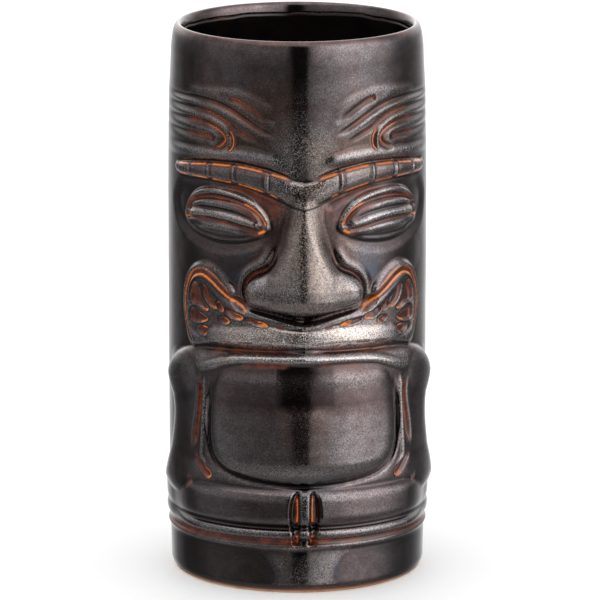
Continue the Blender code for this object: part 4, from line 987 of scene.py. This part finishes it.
def outer_glaze():
    """Reactive glaze: dark pewter that crystallises to silver and tan where it rides over the relief, breaks to rust
    where it is thin and pools black; its near-black mask also holds painted shade, and its tone mask painted highlights
    and painted shade."""
    mat, nt, p = new_material("reactive_glaze")
    tc = nt.nodes.new("ShaderNodeTexCoord").outputs["Object"]
    rust, ink, pale, crest, pool, lift, glow = [value_of(nt, n) for n in
                                                ("rust", "ink", "pale", "crest", "pool", "lift", "glow")]
    tone, warmth, tan = value_of(nt, "tone"), value_of(nt, "warmth"), value_of(nt, "tan")
    m = lambda *a, **k: math_node(nt, *a, **k)
    fine = noise_node(nt, tc, 3400.0, 1.0, 0.5)
    grain = noise_node(nt, tc, 1500.0, 2.0, 0.6)
    patch = noise_node(nt, tc, 260.0, 3.0, 0.6)
    zone = noise_node(nt, tc, 45.0, 2.0, 0.5)
    # how thickly the crystals lie
    dense = m("MULTIPLY_ADD", pale, 0.75, 0.08)
    dense = m("MULTIPLY_ADD", crest, 0.16, dense)
    dense = m("MULTIPLY_ADD", m("SUBTRACT", lift, 0.5), 0.30, dense)
    dense = m("MULTIPLY_ADD", m("SUBTRACT", patch, 0.5), 0.45, dense)
    dense = m("MULTIPLY_ADD", m("SUBTRACT", zone, 0.5), 0.30, dense)
    dense = m("MULTIPLY_ADD", pool, -0.25, dense, clamp=True)
    salt = m("MULTIPLY_ADD", m("SUBTRACT", fine, 0.5), 4.6, m("MULTIPLY", m("SUBTRACT", grain, 0.5), 1.6))
    amount = m("MULTIPLY_ADD", step_node(nt, dense, 0.05, 0.6), 0.30, 0.58)
    grey = m("MULTIPLY_ADD", dense, 0.34, 0.075)
    grey = m("MULTIPLY", grey, m("MAXIMUM", m("MULTIPLY_ADD", salt, amount, 1.0), 0.06))
    # the tone brightens or darkens the glaze, including its painted highlights and painted shade
    grey = m("MULTIPLY", grey, m("ADD", tone, 1.0))
    warm = m("MULTIPLY", step_node(nt, patch, 0.42, 0.62), m("MULTIPLY_ADD", pale, 1.2, 0.12, clamp=True))
    low_tint = mix_node(nt, m("MAXIMUM", m("MULTIPLY", warm, 0.6), warmth), (1.27, 0.90, 0.93), (1.60, 0.87, 0.62))
    high_tint = mix_node(nt, m("MAXIMUM", m("MULTIPLY", warm, 0.5), m("MULTIPLY", tan, step_node(nt, grain, 0.42, 0.60))), (1.04, 0.97, 1.0), (1.25, 0.95, 0.74))
    tint = mix_node(nt, step_node(nt, grey, 0.07, 0.22), low_tint, high_tint)
    tint = mix_node(nt, m("MULTIPLY", step_node(nt, zone, 0.50, 0.68), 0.5), tint, (0.99, 0.95, 1.04))
    scale = nt.nodes.new("ShaderNodeVectorMath")
    scale.operation = "SCALE"
    nt.links.new(tint, scale.inputs[0])
    nt.links.new(grey, scale.inputs["Scale"])
    col = scale.outputs[0]
    # rust, then the bright orange lines, then black pools and painted shade
    wob = m("MULTIPLY", m("SUBTRACT", grain, 0.5), 0.6)
    brown = step_node(nt, m("ADD", rust, wob), 0.10, 0.60)
    brown = m("MULTIPLY", brown, step_node(nt, rust, 0.03, 0.2))
    hot = step_node(nt, m("ADD", glow, wob), 0.30, 0.95)
    hot = m("MULTIPLY", hot, step_node(nt, glow, 0.1, 0.35))
    col = mix_node(nt, m("MULTIPLY", brown, 0.93), col, mix_node(nt, step_node(nt, patch, 0.4, 0.65),
                                                                  (0.052, 0.009, 0.004), (0.135, 0.024, 0.006)))
    # near black for pooled glaze and for painted shade
    dark = step_node(nt, m("ADD", ink, wob), 0.15, 0.8)
    dark = m("MULTIPLY", dark, m("SUBTRACT", 1.0, hot))
    col = mix_node(nt, m("MULTIPLY", dark, 0.88), col, (0.010, 0.007, 0.007))
    bright = mix_node(nt, step_node(nt, glow, 0.35, 0.95), (0.34, 0.055, 0.010), (0.72, 0.200, 0.026))
    col = mix_node(nt, hot, col, bright)
    blue = value_of(nt, "blue")
    col = mix_node(nt, m("MULTIPLY", blue, step_node(nt, patch, 0.35, 0.6)), col, (0.055, 0.080, 0.120))
    nt.links.new(col, p.inputs["Base Color"])
    thin = m("MAXIMUM", m("MAXIMUM", hot, m("MULTIPLY", brown, 0.85)), m("MULTIPLY_ADD", warmth, 0.07, 0.012))
    metal = m("SUBTRACT", 1.0, m("MULTIPLY", thin, 0.95), clamp=True)
    nt.links.new(metal, p.inputs["Metallic"])
    rough = m("MULTIPLY_ADD", dense, 0.15, 0.06)
    rough = m("MULTIPLY_ADD", salt, 0.05, rough)
    fleck = m("MULTIPLY", step_node(nt, fine, 0.55, 0.65), m("MAXIMUM", step_node(nt, dense, 0.22, 0.60), m("MULTIPLY", warmth, 0.8)))
    rough = m("MULTIPLY_ADD", fleck, 0.36, rough)
    nt.links.new(m("MAXIMUM", rough, 0.07), p.inputs["Roughness"])
    p.inputs["IOR"].default_value = 1.5
    p.inputs["Coat Weight"].default_value = 0.7
    p.inputs["Coat Roughness"].default_value = 0.05
    p.inputs["Coat IOR"].default_value = 1.5
    bump = nt.nodes.new("ShaderNodeBump")
    bump.inputs["Strength"].default_value = 0.2
    bump.inputs["Distance"].default_value = 0.00005
    nt.links.new(grain, bump.inputs["Height"])
    nt.links.new(bump.outputs["Normal"], p.inputs["Normal"])
    return mat


def liner_glaze():
    mat, nt, p = new_material("black_liner")
    tc = nt.nodes.new("ShaderNodeTexCoord").outputs["Object"]
    edge = value_of(nt, "edge")
    n = noise_node(nt, tc, 60.0, 3.0)
    col = mix_node(nt, step_node(nt, n, 0.35, 0.7), (0.0025, 0.002, 0.002), (0.006, 0.004, 0.0035))
    col = mix_node(nt, math_node(nt, "MULTIPLY", edge, 0.7), col, (0.05, 0.013, 0.007))
    nt.links.new(col, p.inputs["Base Color"])
    rough = step_node(nt, noise_node(nt, tc, 240.0, 2.0), 0.3, 0.7, 0.10, 0.18)
    nt.links.new(rough, p.inputs["Roughness"])
    p.inputs["IOR"].default_value = 1.5
    return mat


def bare_clay():
    mat, nt, p = new_material("stoneware")
    tc = nt.nodes.new("ShaderNodeTexCoord").outputs["Object"]
    skirt, wear = value_of(nt, "skirt"), value_of(nt, "wear")
    body = noise_node(nt, tc, 220.0, 4.0, 0.6)
    speck = noise_node(nt, tc, 1500.0, 2.0, 0.6)
    col = mix_node(nt, step_node(nt, body, 0.3, 0.7), (0.40, 0.24, 0.145), (0.50, 0.33, 0.215))
    col = mix_node(nt, step_node(nt, speck, 0.62, 0.72), col, (0.16, 0.085, 0.05))
    col = mix_node(nt, math_node(nt, "MULTIPLY", wear, 0.55), col, (0.58, 0.44, 0.32))
    # painted shade inside the dish, deepest along its edge
    col = mix_node(nt, math_node(nt, "MULTIPLY", value_of(nt, "dished"), 0.5), col, (0.30, 0.165, 0.095))
    col = mix_node(nt, skirt, col, (0.16, 0.045, 0.018))
    nt.links.new(col, p.inputs["Base Color"])
    rough = step_node(nt, body, 0.3, 0.7, 0.72, 0.86)
    nt.links.new(rough, p.inputs["Roughness"])
    bump = nt.nodes.new("ShaderNodeBump")
    bump.inputs["Strength"].default_value = 0.5
    bump.inputs["Distance"].default_value = 0.00015
    nt.links.new(speck, bump.inputs["Height"])
    nt.links.new(bump.outputs["Normal"], p.inputs["Normal"])
    return mat


coat = make_coat().make("glaze_coat", outer_glaze())
liner = make_liner().make("cup_liner", liner_glaze())
body = make_body().make("stoneware_body", bare_clay())
for piece, node, slot in ((coat, "outer_glaze", "outer_glaze"), (liner, "liner_glaze", "liner_glaze"),
                          (body, "clay_body", "clay")):
    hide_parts(node)
    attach(piece, "root")
